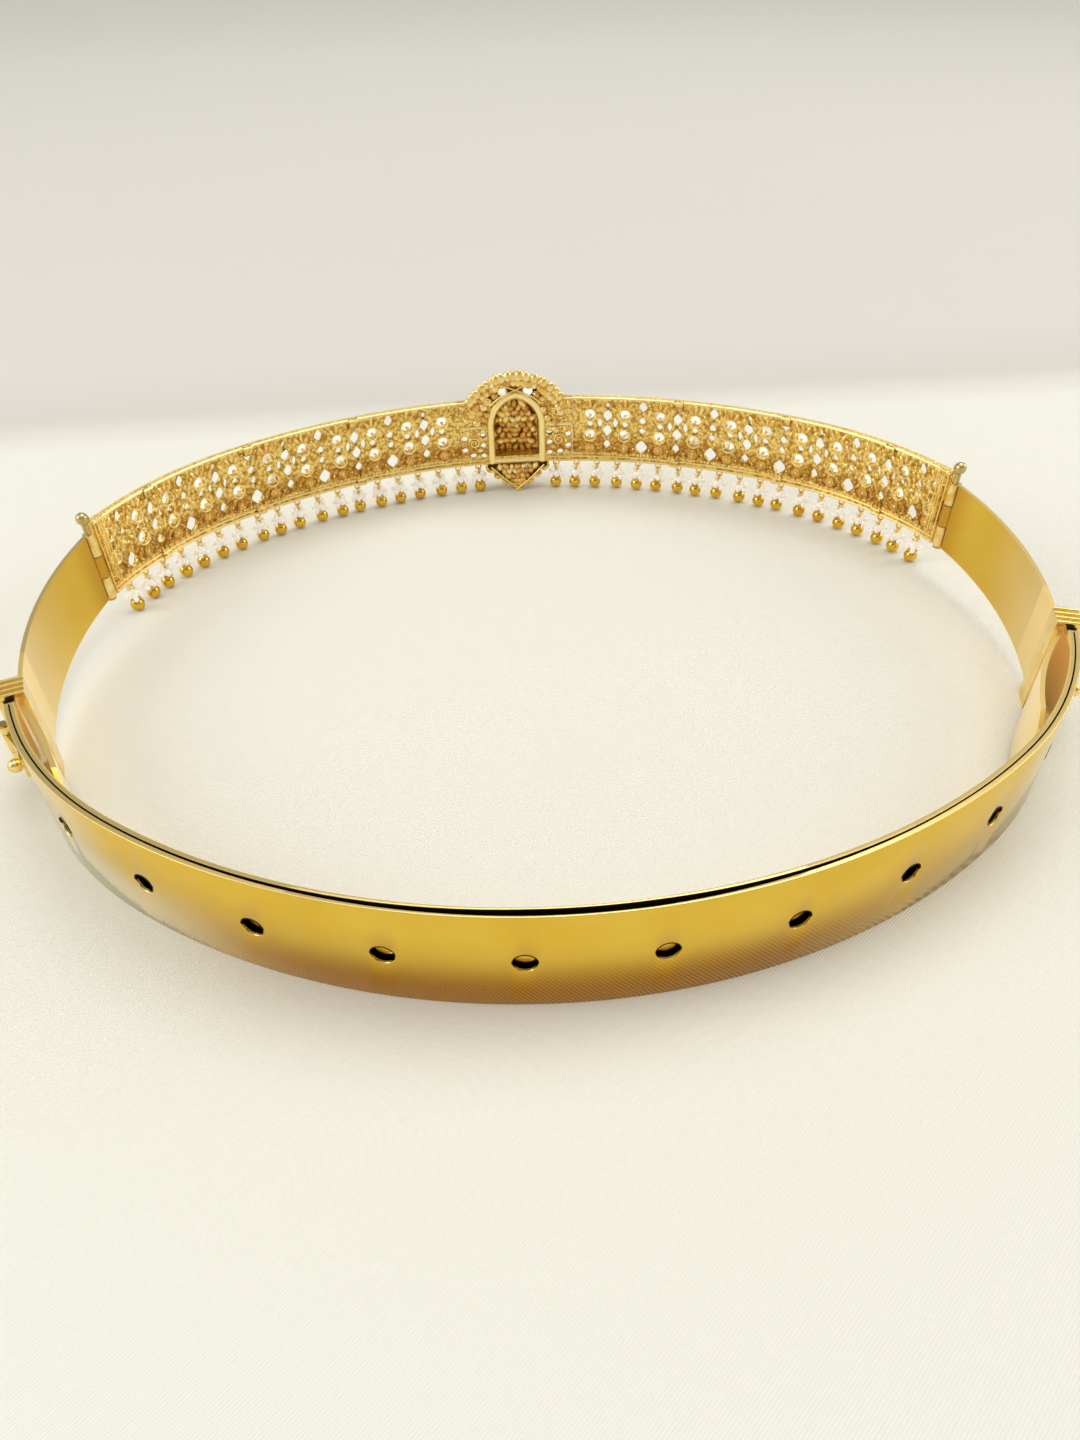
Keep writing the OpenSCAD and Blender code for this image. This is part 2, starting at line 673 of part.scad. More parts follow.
// Gaps through the medallion: between the petals, beside the arch's point, in the flanks
// and over the foot
module medallion_gaps(y0, y1) {
    gap = petal_r * 0.6;
    upright(y0, y1) {
        for (i = [0 : 7])
            if (i != 3 && i != 4)
                translate([0, halo_z]) rotate((i + 0.5) * petal_step) translate([halo_r * 0.9, 0])
                    rotate(90) leaf_hole(gap * 0.7, gap * 1.5);
        for (side = [-1, 1]) {
            translate([side * arch_w * 0.22, arch_spring + arch_w * 0.6])
                rotate(side * 30) leaf_hole(gap * 1.5, gap * 1.4);
            translate([side * arch_w * 0.2, arch_z0 * 0.62]) leaf_hole(gap, gap);
            for (row = FLANK)
                translate([side * row[0] * med_w / 2, panel_z + row[1] * (halo_z - panel_z)])
                    circle(d = gap, $fn = 12);
        }
    }
}

// The cast plate in the window: a lotus on its stem, raised from a thin ground
module medallion_relief() {
    w = arch_w - 2 * arch_band - 2 * fit;
    mid_z = arch_z0 + arch_w * 0.45;
    color("peru") {
        intersection() {
            difference() {
                dome(dome_out - 1.2, dome_r);
                dome(dome_out - 2.4, dome_r);
            }
            upright(0, dome_out) arch(w);
        }
        translate([0, half_d + side_off + loop_y + dome_out - 2, 0]) {
            for (a = [-60, -30, 0, 30, 60])
                translate([sin(a) * w * 0.28, 0, mid_z + cos(a) * w * 0.3]) sphere(r = w * 0.13);
            translate([0, 0, mid_z]) sphere(r = w * 0.17);
            translate([0, 0, arch_z0 + arch_band + 0.6]) cylinder(r = w * 0.07, h = w * 0.36);
        }
    }
}

// Stones on the front of the medallion, one in each collet of the halo
module medallion_stones() {
    color("white") for (p = HALO)
        on_dome(p, fit - seat_depth + 0.3 * petal_r) rotate([0, -90, 0]) cut_stone(petal_r);
}

back_strap();
side_strap(tongue_right, bow_right);  // side_strap_right
on_left() side_strap(tongue_left, bow_left);  // side_strap_left
keeper();  // keeper_right
on_left() keeper();  // keeper_left
lever();  // lever_right
on_left() lever();  // lever_left
lever_pin();  // lever_pin_right
on_left() lever_pin();  // lever_pin_left
hinge_pin();  // hinge_pin_right
on_left() hinge_pin();  // hinge_pin_left
medallion();
medallion_relief();
medallion_stones();
panel_section(1);  // panel_right_1
panel_section(2);  // panel_right_2
panel_section(3);  // panel_right_3
panel_section(4);  // panel_right_4
on_left() panel_section(1);  // panel_left_1
on_left() panel_section(2);  // panel_left_2
on_left() panel_section(3);  // panel_left_3
on_left() panel_section(4);  // panel_left_4
panel_stones();  // panel_stones_right
on_left() panel_stones();  // panel_stones_left
drops();  // drops_right
on_left() drops();  // drops_left
pearls();  // pearls_right
on_left() pearls();  // pearls_left
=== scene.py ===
# %% [markdown]
# # An oddiyanam, a gold waist belt
# The belt stands on its edge in its worn loop, fastened by two clasps. A plain hollow strap
# with adjusting holes runs round the back, and a pierced panel with stones, a medallion and
# hanging pearls lies across the front. The construction model gives every piece its place
# and size. Each piece then gets its finish here, and those that need finer work are
# modelled again, flat on the bench as a goldsmith would, and bent to the belt's path.

# %% Load the construction model
import math
import random
import bpy
from mathutils import Matrix, Vector


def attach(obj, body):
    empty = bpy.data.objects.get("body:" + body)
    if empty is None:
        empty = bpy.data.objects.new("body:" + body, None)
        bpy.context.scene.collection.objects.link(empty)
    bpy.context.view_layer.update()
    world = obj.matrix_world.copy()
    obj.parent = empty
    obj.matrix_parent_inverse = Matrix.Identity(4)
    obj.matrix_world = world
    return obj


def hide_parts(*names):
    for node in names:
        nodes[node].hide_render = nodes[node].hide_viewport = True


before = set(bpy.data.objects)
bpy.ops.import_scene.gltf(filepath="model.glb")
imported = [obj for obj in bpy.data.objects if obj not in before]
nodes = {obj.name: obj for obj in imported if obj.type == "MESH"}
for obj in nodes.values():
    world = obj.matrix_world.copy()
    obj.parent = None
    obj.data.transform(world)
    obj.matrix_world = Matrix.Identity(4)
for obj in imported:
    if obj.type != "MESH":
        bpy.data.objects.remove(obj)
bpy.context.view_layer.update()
MM = 0.001

# %% [markdown]
# The photograph looks down on the back strap from behind the wearer. A camera could be
# placed by eye, but here its angles come from fitting the strap, its holes and the panel
# to the photograph. They are set in plain steps: pitch, then yaw, then a little roll.

# %% Camera
CAMERA_PLACE = Vector((-15.7, -196.5, 148.6)) * MM
PITCH_DOWN = 0.7132
YAW = -0.0727
ROLL = 0.0234
LENS = 31.44
SENSOR_W = 36
NEAREST = 0.01
across = Vector((math.cos(YAW), math.sin(YAW), 0))
level = Vector((-math.sin(YAW), math.cos(YAW), 0))
forward = level * math.cos(PITCH_DOWN) - Vector((0, 0, math.sin(PITCH_DOWN)))
below = -level * math.sin(PITCH_DOWN) - Vector((0, 0, math.cos(PITCH_DOWN)))
right = across * math.cos(ROLL) + below * math.sin(ROLL)
down = below * math.cos(ROLL) - across * math.sin(ROLL)
turned = Matrix((right, -down, -forward)).transposed().to_4x4()
bpy.ops.object.camera_add()
camera = bpy.context.object
camera.name = "camera"
camera.data.sensor_fit = "HORIZONTAL"
camera.data.sensor_width = SENSOR_W
camera.data.lens = LENS
camera.data.clip_start = NEAREST
camera.matrix_world = Matrix.Translation(CAMERA_PLACE) @ turned
bpy.context.scene.camera = camera
print("camera looks down by", round(math.degrees(PITCH_DOWN), 1), "degrees")

# %% [markdown]
# Every material is a small network of nodes. It could be wired by hand in the shader
# editor. In a script, a helper that adds a node with its settings in one call lets each
# finish below read as a short recipe.

# %% Helpers for materials
def recipe(name):
    """A new material with its node tree and its Principled shader."""
    material = bpy.data.materials.new(name)
    material.use_nodes = True
    return material, material.node_tree, material.node_tree.nodes["Principled BSDF"]


def add_node(tree, kind, links=(), **settings):
    """A node of that kind. links: (input, socket it comes from). settings: inputs by name."""
    new = tree.nodes.new(kind)
    for name, value in settings.items():
        if hasattr(new, name):
            setattr(new, name, value)
        else:
            new.inputs[name.replace("_", " ")].default_value = value
    for name, source in links:
        tree.links.new(source, new.inputs[name])
    return new


def feed(tree, value, socket):
    """Links the value if it is another node's output, and sets it if it is plain."""
    if isinstance(value, bpy.types.NodeSocket):
        tree.links.new(value, socket)
    else:
        socket.default_value = value


def place_of(tree, scale=(1, 1, 1), turn=(0, 0, 0)):
    """The place on the piece, in metres, scaled and turned."""
    coordinates = add_node(tree, "ShaderNodeTexCoord")
    mapping = add_node(tree, "ShaderNodeMapping", [("Vector", coordinates.outputs["Object"])],
                       Scale=scale, Rotation=turn)
    return mapping.outputs["Vector"]


def noise(tree, size, detail):
    """A soft noise over the piece, between 0 and 1."""
    return add_node(tree, "ShaderNodeTexNoise", [("Vector", place_of(tree))], Scale=size,
                    Detail=detail).outputs["Fac"]


def ramp(tree, source, stops):
    """A colour ramp through (position, colour) stops."""
    new = add_node(tree, "ShaderNodeValToRGB", [("Fac", source)])
    while len(new.color_ramp.elements) < len(stops):
        new.color_ramp.elements.new(0.5)
    for element, (position, colour) in zip(new.color_ramp.elements, stops):
        element.position = position
        element.color = (*colour, 1)
    return new.outputs["Color"]


print("helpers for materials: recipe, add_node, feed, place_of, noise, ramp")

# %% [markdown]
# A finish often changes from one part of the belt to another. A painted mask would need an
# unwrapped piece and an image. Masks that are worked out from the place on the piece need
# neither, and a few small sums make them.

# %% Sums and masks
def maths(tree, operation, a, b=0):
    """A maths node. a is a socket, b a socket or a number."""
    new = add_node(tree, "ShaderNodeMath", [(0, a)], operation=operation)
    feed(tree, b, new.inputs[1])
    return new.outputs[0]


def product(tree, first, *others):
    """Sockets and numbers multiplied together."""
    for other in others:
        first = maths(tree, "MULTIPLY", first, other)
    return first


def ranged(tree, source, low=0, high=1, at_low=0, at_high=1):
    """at_low where the source is low, at_high where it is high, and even steps between."""
    return add_node(tree, "ShaderNodeMapRange", [("Value", source)], From_Min=low, From_Max=high,
                    To_Min=at_low, To_Max=at_high).outputs["Result"]


def eased(tree, source, low, high):
    """0 below low mm, 1 above high mm, or the other way round, with a soft step between."""
    step = add_node(tree, "ShaderNodeMapRange", [("Value", source)], interpolation_type="SMOOTHSTEP",
                    From_Min=min(low, high) * MM, From_Max=max(low, high) * MM,
                    To_Min=0 if low < high else 1, To_Max=1 if low < high else 0)
    return step.outputs["Result"]


def blended(tree, amount, colour, other, way="MIX"):
    """A colour with some of another over it. The amount and the other are sockets or plain."""
    new = add_node(tree, "ShaderNodeMixRGB", [("Color1", colour)], blend_type=way)
    feed(tree, amount, new.inputs["Fac"])
    feed(tree, other, new.inputs["Color2"])
    return new.outputs["Color"]


def axes_of(tree):
    """The place on the piece as three numbers, in metres along X, Y and Z."""
    return add_node(tree, "ShaderNodeSeparateXYZ", [("Vector", place_of(tree))]).outputs


print("helpers for masks: maths, product, ranged, eased, blended, axes_of")

# %% [markdown]
# The strap and the cast front are the same gold with other surfaces. The sheet is polished
# and softly brushed, so its gloss is streaky. The casting has a fine granular skin. One
# recipe serves them all, because only the tint, the gloss and the bump change. The shaded
# gold is a darker copy that paints shade on relief that lies in shade, and the highlit gold a
# paler satin copy, partly real gloss and partly painted highlight.

# %% A gold with a grain
GRAIN_DEPTH = 0.05 * MM


def gold(name, tint, shade, roughness, grain, grain_size, relief=0.1, drift_size=60):
    """Gold whose colour drifts from tint to shade, with a grain in its gloss and its bump."""
    material, tree, shader = recipe(name)
    fine = noise(tree, grain_size, 4)
    colour = ramp(tree, noise(tree, drift_size, 3), [(0.35, shade), (0.62, tint)])
    tree.links.new(colour, shader.inputs["Base Color"])
    gloss = ranged(tree, fine, at_low=roughness - grain, at_high=roughness + grain)
    tree.links.new(gloss, shader.inputs["Roughness"])
    bump = add_node(tree, "ShaderNodeBump", [("Height", fine)], Strength=relief, Distance=GRAIN_DEPTH)
    tree.links.new(bump.outputs["Normal"], shader.inputs["Normal"])
    shader.inputs["Metallic"].default_value = 1
    return material


CAST_GOLD = gold("cast_gold", (0.98, 0.80, 0.38), (0.86, 0.57, 0.13), 0.32, 0.08, 1800, 0.5, 400)
WIRE_GOLD = gold("wire_gold", (0.96, 0.75, 0.30), (0.88, 0.60, 0.14), 0.22, 0.05, 1500, 0.15, 300)
BALL_GOLD = gold("ball_gold", (0.84, 0.55, 0.08), (0.76, 0.46, 0.05), 0.07, 0.02, 900, 0.05)
# shaded gold: painted shade, a darker copy for relief that lies in shade
SHADED_GOLD = gold("shaded_gold", (0.84, 0.54, 0.16), (0.50, 0.26, 0.06), 0.34, 0.1, 1600, 0.8, 500)
# highlit gold: a satin gloss, and a paler colour that is painted highlight
HIGHLIT_GOLD = gold("highlit_gold", (1.0, 0.86, 0.44), (0.98, 0.78, 0.32), 0.36, 0.06, 1200, 0.2)
PIN_GOLD = gold("pin_gold", (0.62, 0.50, 0.22), (0.50, 0.38, 0.14), 0.3, 0.06, 1200, 0.3)
# painted shade: a near-black gold for the strap's channel, the holes' upper edges and the burrs
PAINTED_SHADE = gold("painted_shade", (0.05, 0.03, 0.01), (0.03, 0.02, 0.01), 0.6, 0.1, 900)
golds = (CAST_GOLD, WIRE_GOLD, BALL_GOLD, SHADED_GOLD, HIGHLIT_GOLD, PIN_GOLD, PAINTED_SHADE)
print("golds:", [m.name for m in golds])

# %% [markdown]
# The plate of the casting is crowded with lumps that are too small to model one by one. A
# Voronoi pattern gives them: bright on top and brown between, a painted highlight and painted
# shade, with a bump of their height. On the side that faces the wearer the colour is also
# darker in bands at set heights, round the bosses and near the top, so a mask tells the
# sides apart.

# %% The casting's ground
GROUND_BUMP = 0.45 * MM
GROUND_ROUGHNESS = 0.4
# painted highlight on the lumps' tops and painted shade between them
LUMP_HIGHLIGHT_AND_SHADE = [(0.12, (1.0, 0.85, 0.38)), (0.42, (0.93, 0.68, 0.20)), (0.75, (0.52, 0.29, 0.05))]
UNCHANGED = (1, 1, 1)
FAINTLY_WARM = (1, 0.98, 0.93)
# darker bands at set heights, round the bosses and near the top
BAND_FROM, BAND_TO = 9.5 * MM, 31 * MM
HEIGHT_BAND_TONES = [(0.12, FAINTLY_WARM), (0.18, (0.60, 0.44, 0.26)), (0.31, (0.74, 0.59, 0.40)), (0.42, UNCHANGED),
              (0.8, UNCHANGED), (0.88, (0.82, 0.68, 0.47)), (0.95, FAINTLY_WARM)]


def faces_wearer(tree):
    """1 where the surface looks to the inside of the loop, and 0 where it looks out."""
    coordinates = add_node(tree, "ShaderNodeTexCoord")
    outward = add_node(tree, "ShaderNodeVectorMath", operation="DOT_PRODUCT")
    tree.links.new(coordinates.outputs["Object"], outward.inputs[0])
    tree.links.new(coordinates.outputs["Normal"], outward.inputs[1])
    return ranged(tree, outward.outputs["Value"], -20 * MM, -5 * MM, 1, 0)


def ground_gold(name, cells, depth):
    """The ground of the casting: crowded small lumps with painted highlight and shade, darker in bands on the
    wearer's side.
    """
    material, tree, shader = recipe(name)
    lumps = add_node(tree, "ShaderNodeTexVoronoi", [("Vector", place_of(tree))], Scale=cells,
                     Randomness=0.85)
    height = lumps.outputs["Distance"]
    # darker in bands at set heights, on the wearer's side only
    height_bands = ramp(tree, ranged(tree, axes_of(tree)["Z"], BAND_FROM, BAND_TO), HEIGHT_BAND_TONES)
    banded_colour = blended(tree, faces_wearer(tree), ramp(tree, height, LUMP_HIGHLIGHT_AND_SHADE), height_bands, "MULTIPLY")
    tree.links.new(banded_colour, shader.inputs["Base Color"])
    bump = add_node(tree, "ShaderNodeBump", [("Height", ranged(tree, height, 0, 0.8, 1, 0))],
                    Strength=depth, Distance=GROUND_BUMP)
    tree.links.new(bump.outputs["Normal"], shader.inputs["Normal"])
    shader.inputs["Metallic"].default_value = 1
    shader.inputs["Roughness"].default_value = GROUND_ROUGHNESS
    return material


GROUND_GOLD = ground_gold("ground_gold", 850, 0.8)
DOME_GOLD = ground_gold("dome_gold", 1500, 0.3)
print("grounds:", GROUND_GOLD.name, "and", DOME_GOLD.name)

# %% [markdown]
# At the clasps the tongue lies inside the strap, and light goes to and fro between the two
# walls many times. Following every bounce would be slow, so the walls give off a little
# light of gold's own colour there.

# %% Light between the walls
SLIT_CENTRE = (33.6 * MM, -2.55 * MM)
SLIT_R = 87.2 * MM
SLIT_FROM = 60 * MM
SLIT_BEHIND = -17 * MM
SLIT_TOP = 25 * MM
SLIT_GLOW = (0.04, 0.15)
SLIT_TINT = (1.0, 0.68, 0.25, 1)


def glow_between_walls(tree, shader):
    """Light in the narrow slits at the clasps, stronger toward their open top."""
    parts = axes_of(tree)
    side = maths(tree, "SUBTRACT", maths(tree, "ABSOLUTE", parts["X"]), SLIT_CENTRE[0])
    along = maths(tree, "SUBTRACT", parts["Y"], SLIT_CENTRE[1])
    squares = maths(tree, "ADD", maths(tree, "POWER", side, 2), maths(tree, "POWER", along, 2))
    inside = maths(tree, "LESS_THAN", maths(tree, "SQRT", squares), SLIT_R)
    behind = maths(tree, "LESS_THAN", parts["Y"], SLIT_BEHIND)
    far = maths(tree, "GREATER_THAN", side, SLIT_FROM)
    glow = ranged(tree, parts["Z"], 0, SLIT_TOP, *SLIT_GLOW)
    tree.links.new(product(tree, inside, behind, far, glow), shader.inputs["Emission Strength"])
    shader.inputs["Emission Color"].default_value = SLIT_TINT


print("the slits glow with a strength of", SLIT_GLOW)

# %% [markdown]
# The polished strap mirrors the room unevenly, and here the reflections are painted into its
# colour. Low on the back a painted reflection of the cloth's weave makes it deep, beside the
# clasps a painted reflection makes it pale and hazy, at the hinges a painted reflection of
# them makes it browner, and its top edge has a paler painted highlight and a real duller gloss.
# In a real room many small lights and shades do this. A few masks over one gold do it here.
# Each pair below says where a mask begins and where it is full, in mm.

# %% The strap's sheet
BEHIND = (-20, -50)
LOW_LEFT, LOW_RIGHT, LOW_Z = (-84, -46), (70, 30), (14, 3.5)
BLEAK_X, BLEAK_Z = (55, 92), (17, 4)
BLEAK_LEFT, BLEAK_RIGHT = (-90 * MM, 0.8), (60 * MM, 0.06)
SIDE_X = (84, 100)
HAZY_Y, HAZY_MOST = (14, -26), 0.45
HINGE_Y = (17, 27)
# painted reflections in the strap's colour, and a painted highlight on its top edge
MIRRORED_WEAVE_TONES = [(0.2, (0.38, 0.155, 0.0)), (0.8, (0.64, 0.30, 0.0))]
PALE_REFLECTION, HAZY_REFLECTION = (1.0, 0.92, 0.72, 1), (0.95, 0.85, 0.60, 1)
HINGE_REFLECTION, TOP_HIGHLIGHT = (0.60, 0.33, 0.04, 1), (0.90, 0.68, 0.26, 1)
TOP_ROUGHNESS = 0.22
FLAT_TOP = 0.75


def strap_masks(tree):
    """How much of each painted reflection there is: the weave low down, the pale and the hazy
    ones, the hinge's brown one, and the painted highlight on the top.
    """
    parts = axes_of(tree)
    from_middle = maths(tree, "ABSOLUTE", parts["X"])
    behind = eased(tree, parts["Y"], *BEHIND)
    low = product(tree, eased(tree, parts["Z"], *LOW_Z), eased(tree, parts["X"], *LOW_LEFT),
                  eased(tree, parts["X"], *LOW_RIGHT), behind)
    more_left = ranged(tree, parts["X"], BLEAK_LEFT[0], BLEAK_RIGHT[0], BLEAK_LEFT[1], BLEAK_RIGHT[1])
    bleak = product(tree, eased(tree, from_middle, *BLEAK_X), eased(tree, parts["Z"], *BLEAK_Z), behind,
                    more_left)
    at_side = eased(tree, from_middle, *SIDE_X)
    hazy = product(tree, at_side, eased(tree, parts["Y"], *HAZY_Y), HAZY_MOST)
    brown = product(tree, at_side, eased(tree, parts["Y"], *HINGE_Y))
    normal = add_node(tree, "ShaderNodeTexCoord").outputs["Normal"]
    upward = add_node(tree, "ShaderNodeSeparateXYZ", [("Vector", normal)]).outputs["Z"]
    return low, bleak, hazy, brown, maths(tree, "GREATER_THAN", upward, FLAT_TOP)


def sheet_gold():
    """Polished sheet with the strap's painted reflections and top highlight laid over it."""
    material = gold("sheet_gold", (0.80, 0.535, 0.075), (0.76, 0.49, 0.055), 0.13, 0.03, 900, 0.06)
    tree = material.node_tree
    shader = tree.nodes["Principled BSDF"]
    twill = add_node(tree, "ShaderNodeTexWave", [("Vector", place_of(tree, turn=(0, math.radians(40), 0)))],
                     Scale=450, Distortion=0.8, Detail=1)
    masks = strap_masks(tree)
    colour = shader.inputs["Base Color"].links[0].from_socket
    # lays the painted reflections and the top's painted highlight over the gold
    for amount, tone in zip(masks, (ramp(tree, twill.outputs["Fac"], MIRRORED_WEAVE_TONES), PALE_REFLECTION, HAZY_REFLECTION, HINGE_REFLECTION, TOP_HIGHLIGHT)):
        colour = blended(tree, amount, colour, tone)
    tree.links.new(colour, shader.inputs["Base Color"])
    gloss = shader.inputs["Roughness"].links[0].from_socket
    tree.links.new(maths(tree, "ADD", gloss, product(tree, masks[-1], TOP_ROUGHNESS)),
                   shader.inputs["Roughness"])
    glow_between_walls(tree, shader)
    return material


SHEET_GOLD = sheet_gold()
print("the strap's sheet has", len(SHEET_GOLD.node_tree.nodes), "nodes")

# %% [markdown]
# The clear stones sit in open collets, and seen from the wearer's side they are bright
# spots of daylight with dark ones among them. Real glass with many bounces would give
# this slowly and with noise, so each stone gives off a little light, painted light: in
# spots on that side, and faintly on the other.
# A pearl is milky, with a soft coat over its body colour and a faint glow of painted light.

# %% Stone and pearl
STONE_TINT, STONE_ROUGHNESS, STONE_IOR, STONE_CLEAR = (0.90, 0.90, 0.92, 1), 0.03, 1.8, 0.55
STONE_LIGHT = [(0.40, (0.16, 0.16, 0.16)), (0.56, (0.8, 0.8, 0.8))]
STONE_LIGHT_FRONT = 0.04


def clear_stone():
    """A clear cut stone that glows as painted light, in spots on the wearer's side and faintly elsewhere."""
    material, tree, shader = recipe("clear_stone")
    shader.inputs["Base Color"].default_value = STONE_TINT
    shader.inputs["Roughness"].default_value = STONE_ROUGHNESS
    shader.inputs["IOR"].default_value = STONE_IOR
    shader.inputs["Transmission Weight"].default_value = STONE_CLEAR
    shader.inputs["Emission Color"].default_value = (1, 1, 0.97, 1)
    behind = product(tree, faces_wearer(tree), ramp(tree, noise(tree, 420, 0), STONE_LIGHT))
    tree.links.new(maths(tree, "MAXIMUM", behind, STONE_LIGHT_FRONT), shader.inputs["Emission Strength"])
    return material


def pearl():
    """A white pearl with a faint cloud in its colour and a faint glow of painted light."""
    material, tree, shader = recipe("pearl")
    tree.links.new(ramp(tree, noise(tree, 300, 2), [(0.3, (0.97, 0.92, 0.83)), (0.7, (1, 0.98, 0.92))]),
                   shader.inputs["Base Color"])
    # the emission is painted light, a faint glow that keeps the pearls bright
    for name, value in (("Roughness", 0.18), ("Coat Weight", 0.6), ("Coat Roughness", 0.08),
                        ("Sheen Weight", 0.2), ("Emission Color", (1, 0.97, 0.93, 1)),
                        ("Emission Strength", 0.1)):
        shader.inputs[name].default_value = value
    return material


CLEAR_STONE = clear_stone()
PEARL = pearl()
print("gem finishes:", CLEAR_STONE.name, "and", PEARL.name)

# %% [markdown]
# The belt stands on a cream cloth with a very fine twill. Behind it the cloth ends, and a
# grey-beige ground goes on. Two sheets would need a seam, so both are one large sheet
# whose colour changes with the place. A darker strip just behind the cloth's edge is painted
# shade, and the ground grows lighter far off as painted light, where the lamps reach less.
# The threads are far too fine to model and are a wave pattern in the colour and the bump.

# %% Floor
FLOOR_HALF = 3.0
CLOTH_EDGE = 0.175
EDGE_WANDER = 0.02
# painted shade in a strip just behind the cloth's edge, and painted light that lightens the ground far off
CLOTH_TONES = [(0.0, (0.88, 0.87, 0.78)), (0.023, (0.70, 0.67, 0.61)), (0.066, (0.745, 0.72, 0.665)),
               (0.25, (0.75, 0.725, 0.67)), (1.0, (0.87, 0.845, 0.785))]
CLOTH_REACH = 1.2
THREAD_TONES = [(0.2, (0.95, 0.95, 0.945)), (0.7, (1, 1, 1))]
THREAD_DEPTH = 0.12 * MM


def cloth():
    """Cream twill up to the cloth's edge, and the grey-beige ground behind it."""
    material, tree, shader = recipe("cream_cloth")
    edge = maths(tree, "ADD", axes_of(tree)["Y"], product(tree, noise(tree, 3, 2), EDGE_WANDER))
    tone = ramp(tree, ranged(tree, edge, CLOTH_EDGE - EDGE_WANDER, CLOTH_EDGE + CLOTH_REACH), CLOTH_TONES)
    twill = add_node(tree, "ShaderNodeTexWave", [("Vector", place_of(tree, turn=(0, 0, math.radians(50))))],
                     Scale=620, Distortion=0.6, Detail=1)
    woven = blended(tree, 1, tone, ramp(tree, twill.outputs["Fac"], THREAD_TONES), "MULTIPLY")
    tree.links.new(woven, shader.inputs["Base Color"])
    bump = add_node(tree, "ShaderNodeBump", [("Height", twill.outputs["Fac"])], Strength=0.5,
                    Distance=THREAD_DEPTH)
    tree.links.new(bump.outputs["Normal"], shader.inputs["Normal"])
    shader.inputs["Roughness"].default_value = 0.75
    return material


bpy.ops.object.select_all(action="DESELECT")
bpy.ops.mesh.primitive_plane_add(size=2 * FLOOR_HALF)
floor = bpy.context.object
floor.name = "floor"
floor.data.materials.append(cloth())
print("floor", 2 * FLOOR_HALF, "m wide, the cloth ends at y", CLOTH_EDGE, "m")

# %% [markdown]
# Polished gold shows what stands round it, so the light is that of a bright room: a pale
# surround near the horizon, a darker ceiling that the strap's top edge mirrors as a black
# line, and large soft lamps overhead. A photograph of a room could light it too, but a
# ramp from the horizon to the zenith is simpler to adjust.

# %% Surround and lamps
SKY_TONES = [(0.0, (1.0, 0.98, 0.92)), (0.3, (0.88, 0.87, 0.82)), (0.5, (0.34, 0.33, 0.30)),
             (0.75, (0.28, 0.28, 0.27)), (0.93, (1.0, 1.0, 1.0))]
SKY_STRENGTH = 0.94
SUN_TURN = (math.radians(-22), math.radians(14), 0)
SUN_STRENGTH = 0.34
SUN_WIDTH = math.radians(35)
LAMPS = [("lamp_overhead", (0.25, 0.35, 1.5), 1.0, 5, (1.0, 0.98, 0.94)),
         ("lamp_side", (1.3, 0.15, 0.8), 0.7, 4.6, (1.0, 0.96, 0.91)),
         ("lamp_left", (-1.2, -0.2, 0.9), 0.8, 7, (1.0, 0.98, 0.95))]
world = bpy.data.worlds.new("surround")
bpy.context.scene.world = world
world.use_nodes = True
sky = world.node_tree
direction = add_node(sky, "ShaderNodeTexCoord").outputs["Generated"]
up = add_node(sky, "ShaderNodeSeparateXYZ", [("Vector", direction)]).outputs["Z"]
sky.links.new(ramp(sky, up, SKY_TONES), sky.nodes["Background"].inputs["Color"])
sky.nodes["Background"].inputs["Strength"].default_value = SKY_STRENGTH


def lamp(name, place, size, power, colour):
    """A square soft lamp that shines at the belt."""
    bpy.ops.object.light_add(type="AREA", location=place)
    new = bpy.context.object
    new.name = name
    new.data.size = size
    new.data.energy = power
    new.data.color = colour
    new.rotation_euler = (-Vector(place)).to_track_quat("-Z", "Y").to_euler()


for row in LAMPS:
    lamp(*row)
bpy.ops.object.light_add(type="SUN", rotation=SUN_TURN)
sun = bpy.context.object
sun.name = "window_light"
sun.data.energy = SUN_STRENGTH
sun.data.angle = SUN_WIDTH
bpy.context.scene.view_settings.view_transform = "Standard"
bpy.context.scene.view_settings.look = "None"
print("lamps:", [row[0] for row in LAMPS] + [sun.name])

# %% [markdown]
# Modelling is done with the same few moves each time: clear the selection, add a
# primitive, shape it, and hand it on. Blender's operators act on all that is selected, so
# these helpers always begin with nothing selected.

# %% Helpers for modelling
LYING = {"X": (0, math.pi / 2, 0), "Y": (math.pi / 2, 0, 0), "Z": (0, 0, 0)}


def clear():
    """Back to object mode with nothing selected."""
    if bpy.context.mode != "OBJECT":
        bpy.ops.object.mode_set(mode="OBJECT")
    bpy.ops.object.select_all(action="DESELECT")


def pick(*objects):
    """Only these objects selected, the first one active."""
    clear()
    for one in objects:
        one.select_set(True)
    bpy.context.view_layer.objects.active = objects[0]
    return objects[0]


def added(operator, **settings):
    """A primitive, with its name free to be set and its place already in its mesh."""
    clear()
    operator(**settings)
    bpy.ops.object.transform_apply(location=True, rotation=True, scale=True)
    return bpy.context.object


def block(low, high):
    """A box between two corners."""
    low, high = Vector(low), Vector(high)
    return added(bpy.ops.mesh.primitive_cube_add, size=1, location=(low + high) / 2, scale=high - low)


def rod(radius, length, along="Z", place=(0, 0, 0), sides=8, **more):
    """A round bar that lies along an axis, with its middle at a place."""
    return added(bpy.ops.mesh.primitive_cylinder_add, vertices=sides, radius=radius, depth=length,
                 location=place, rotation=LYING[along], **more)


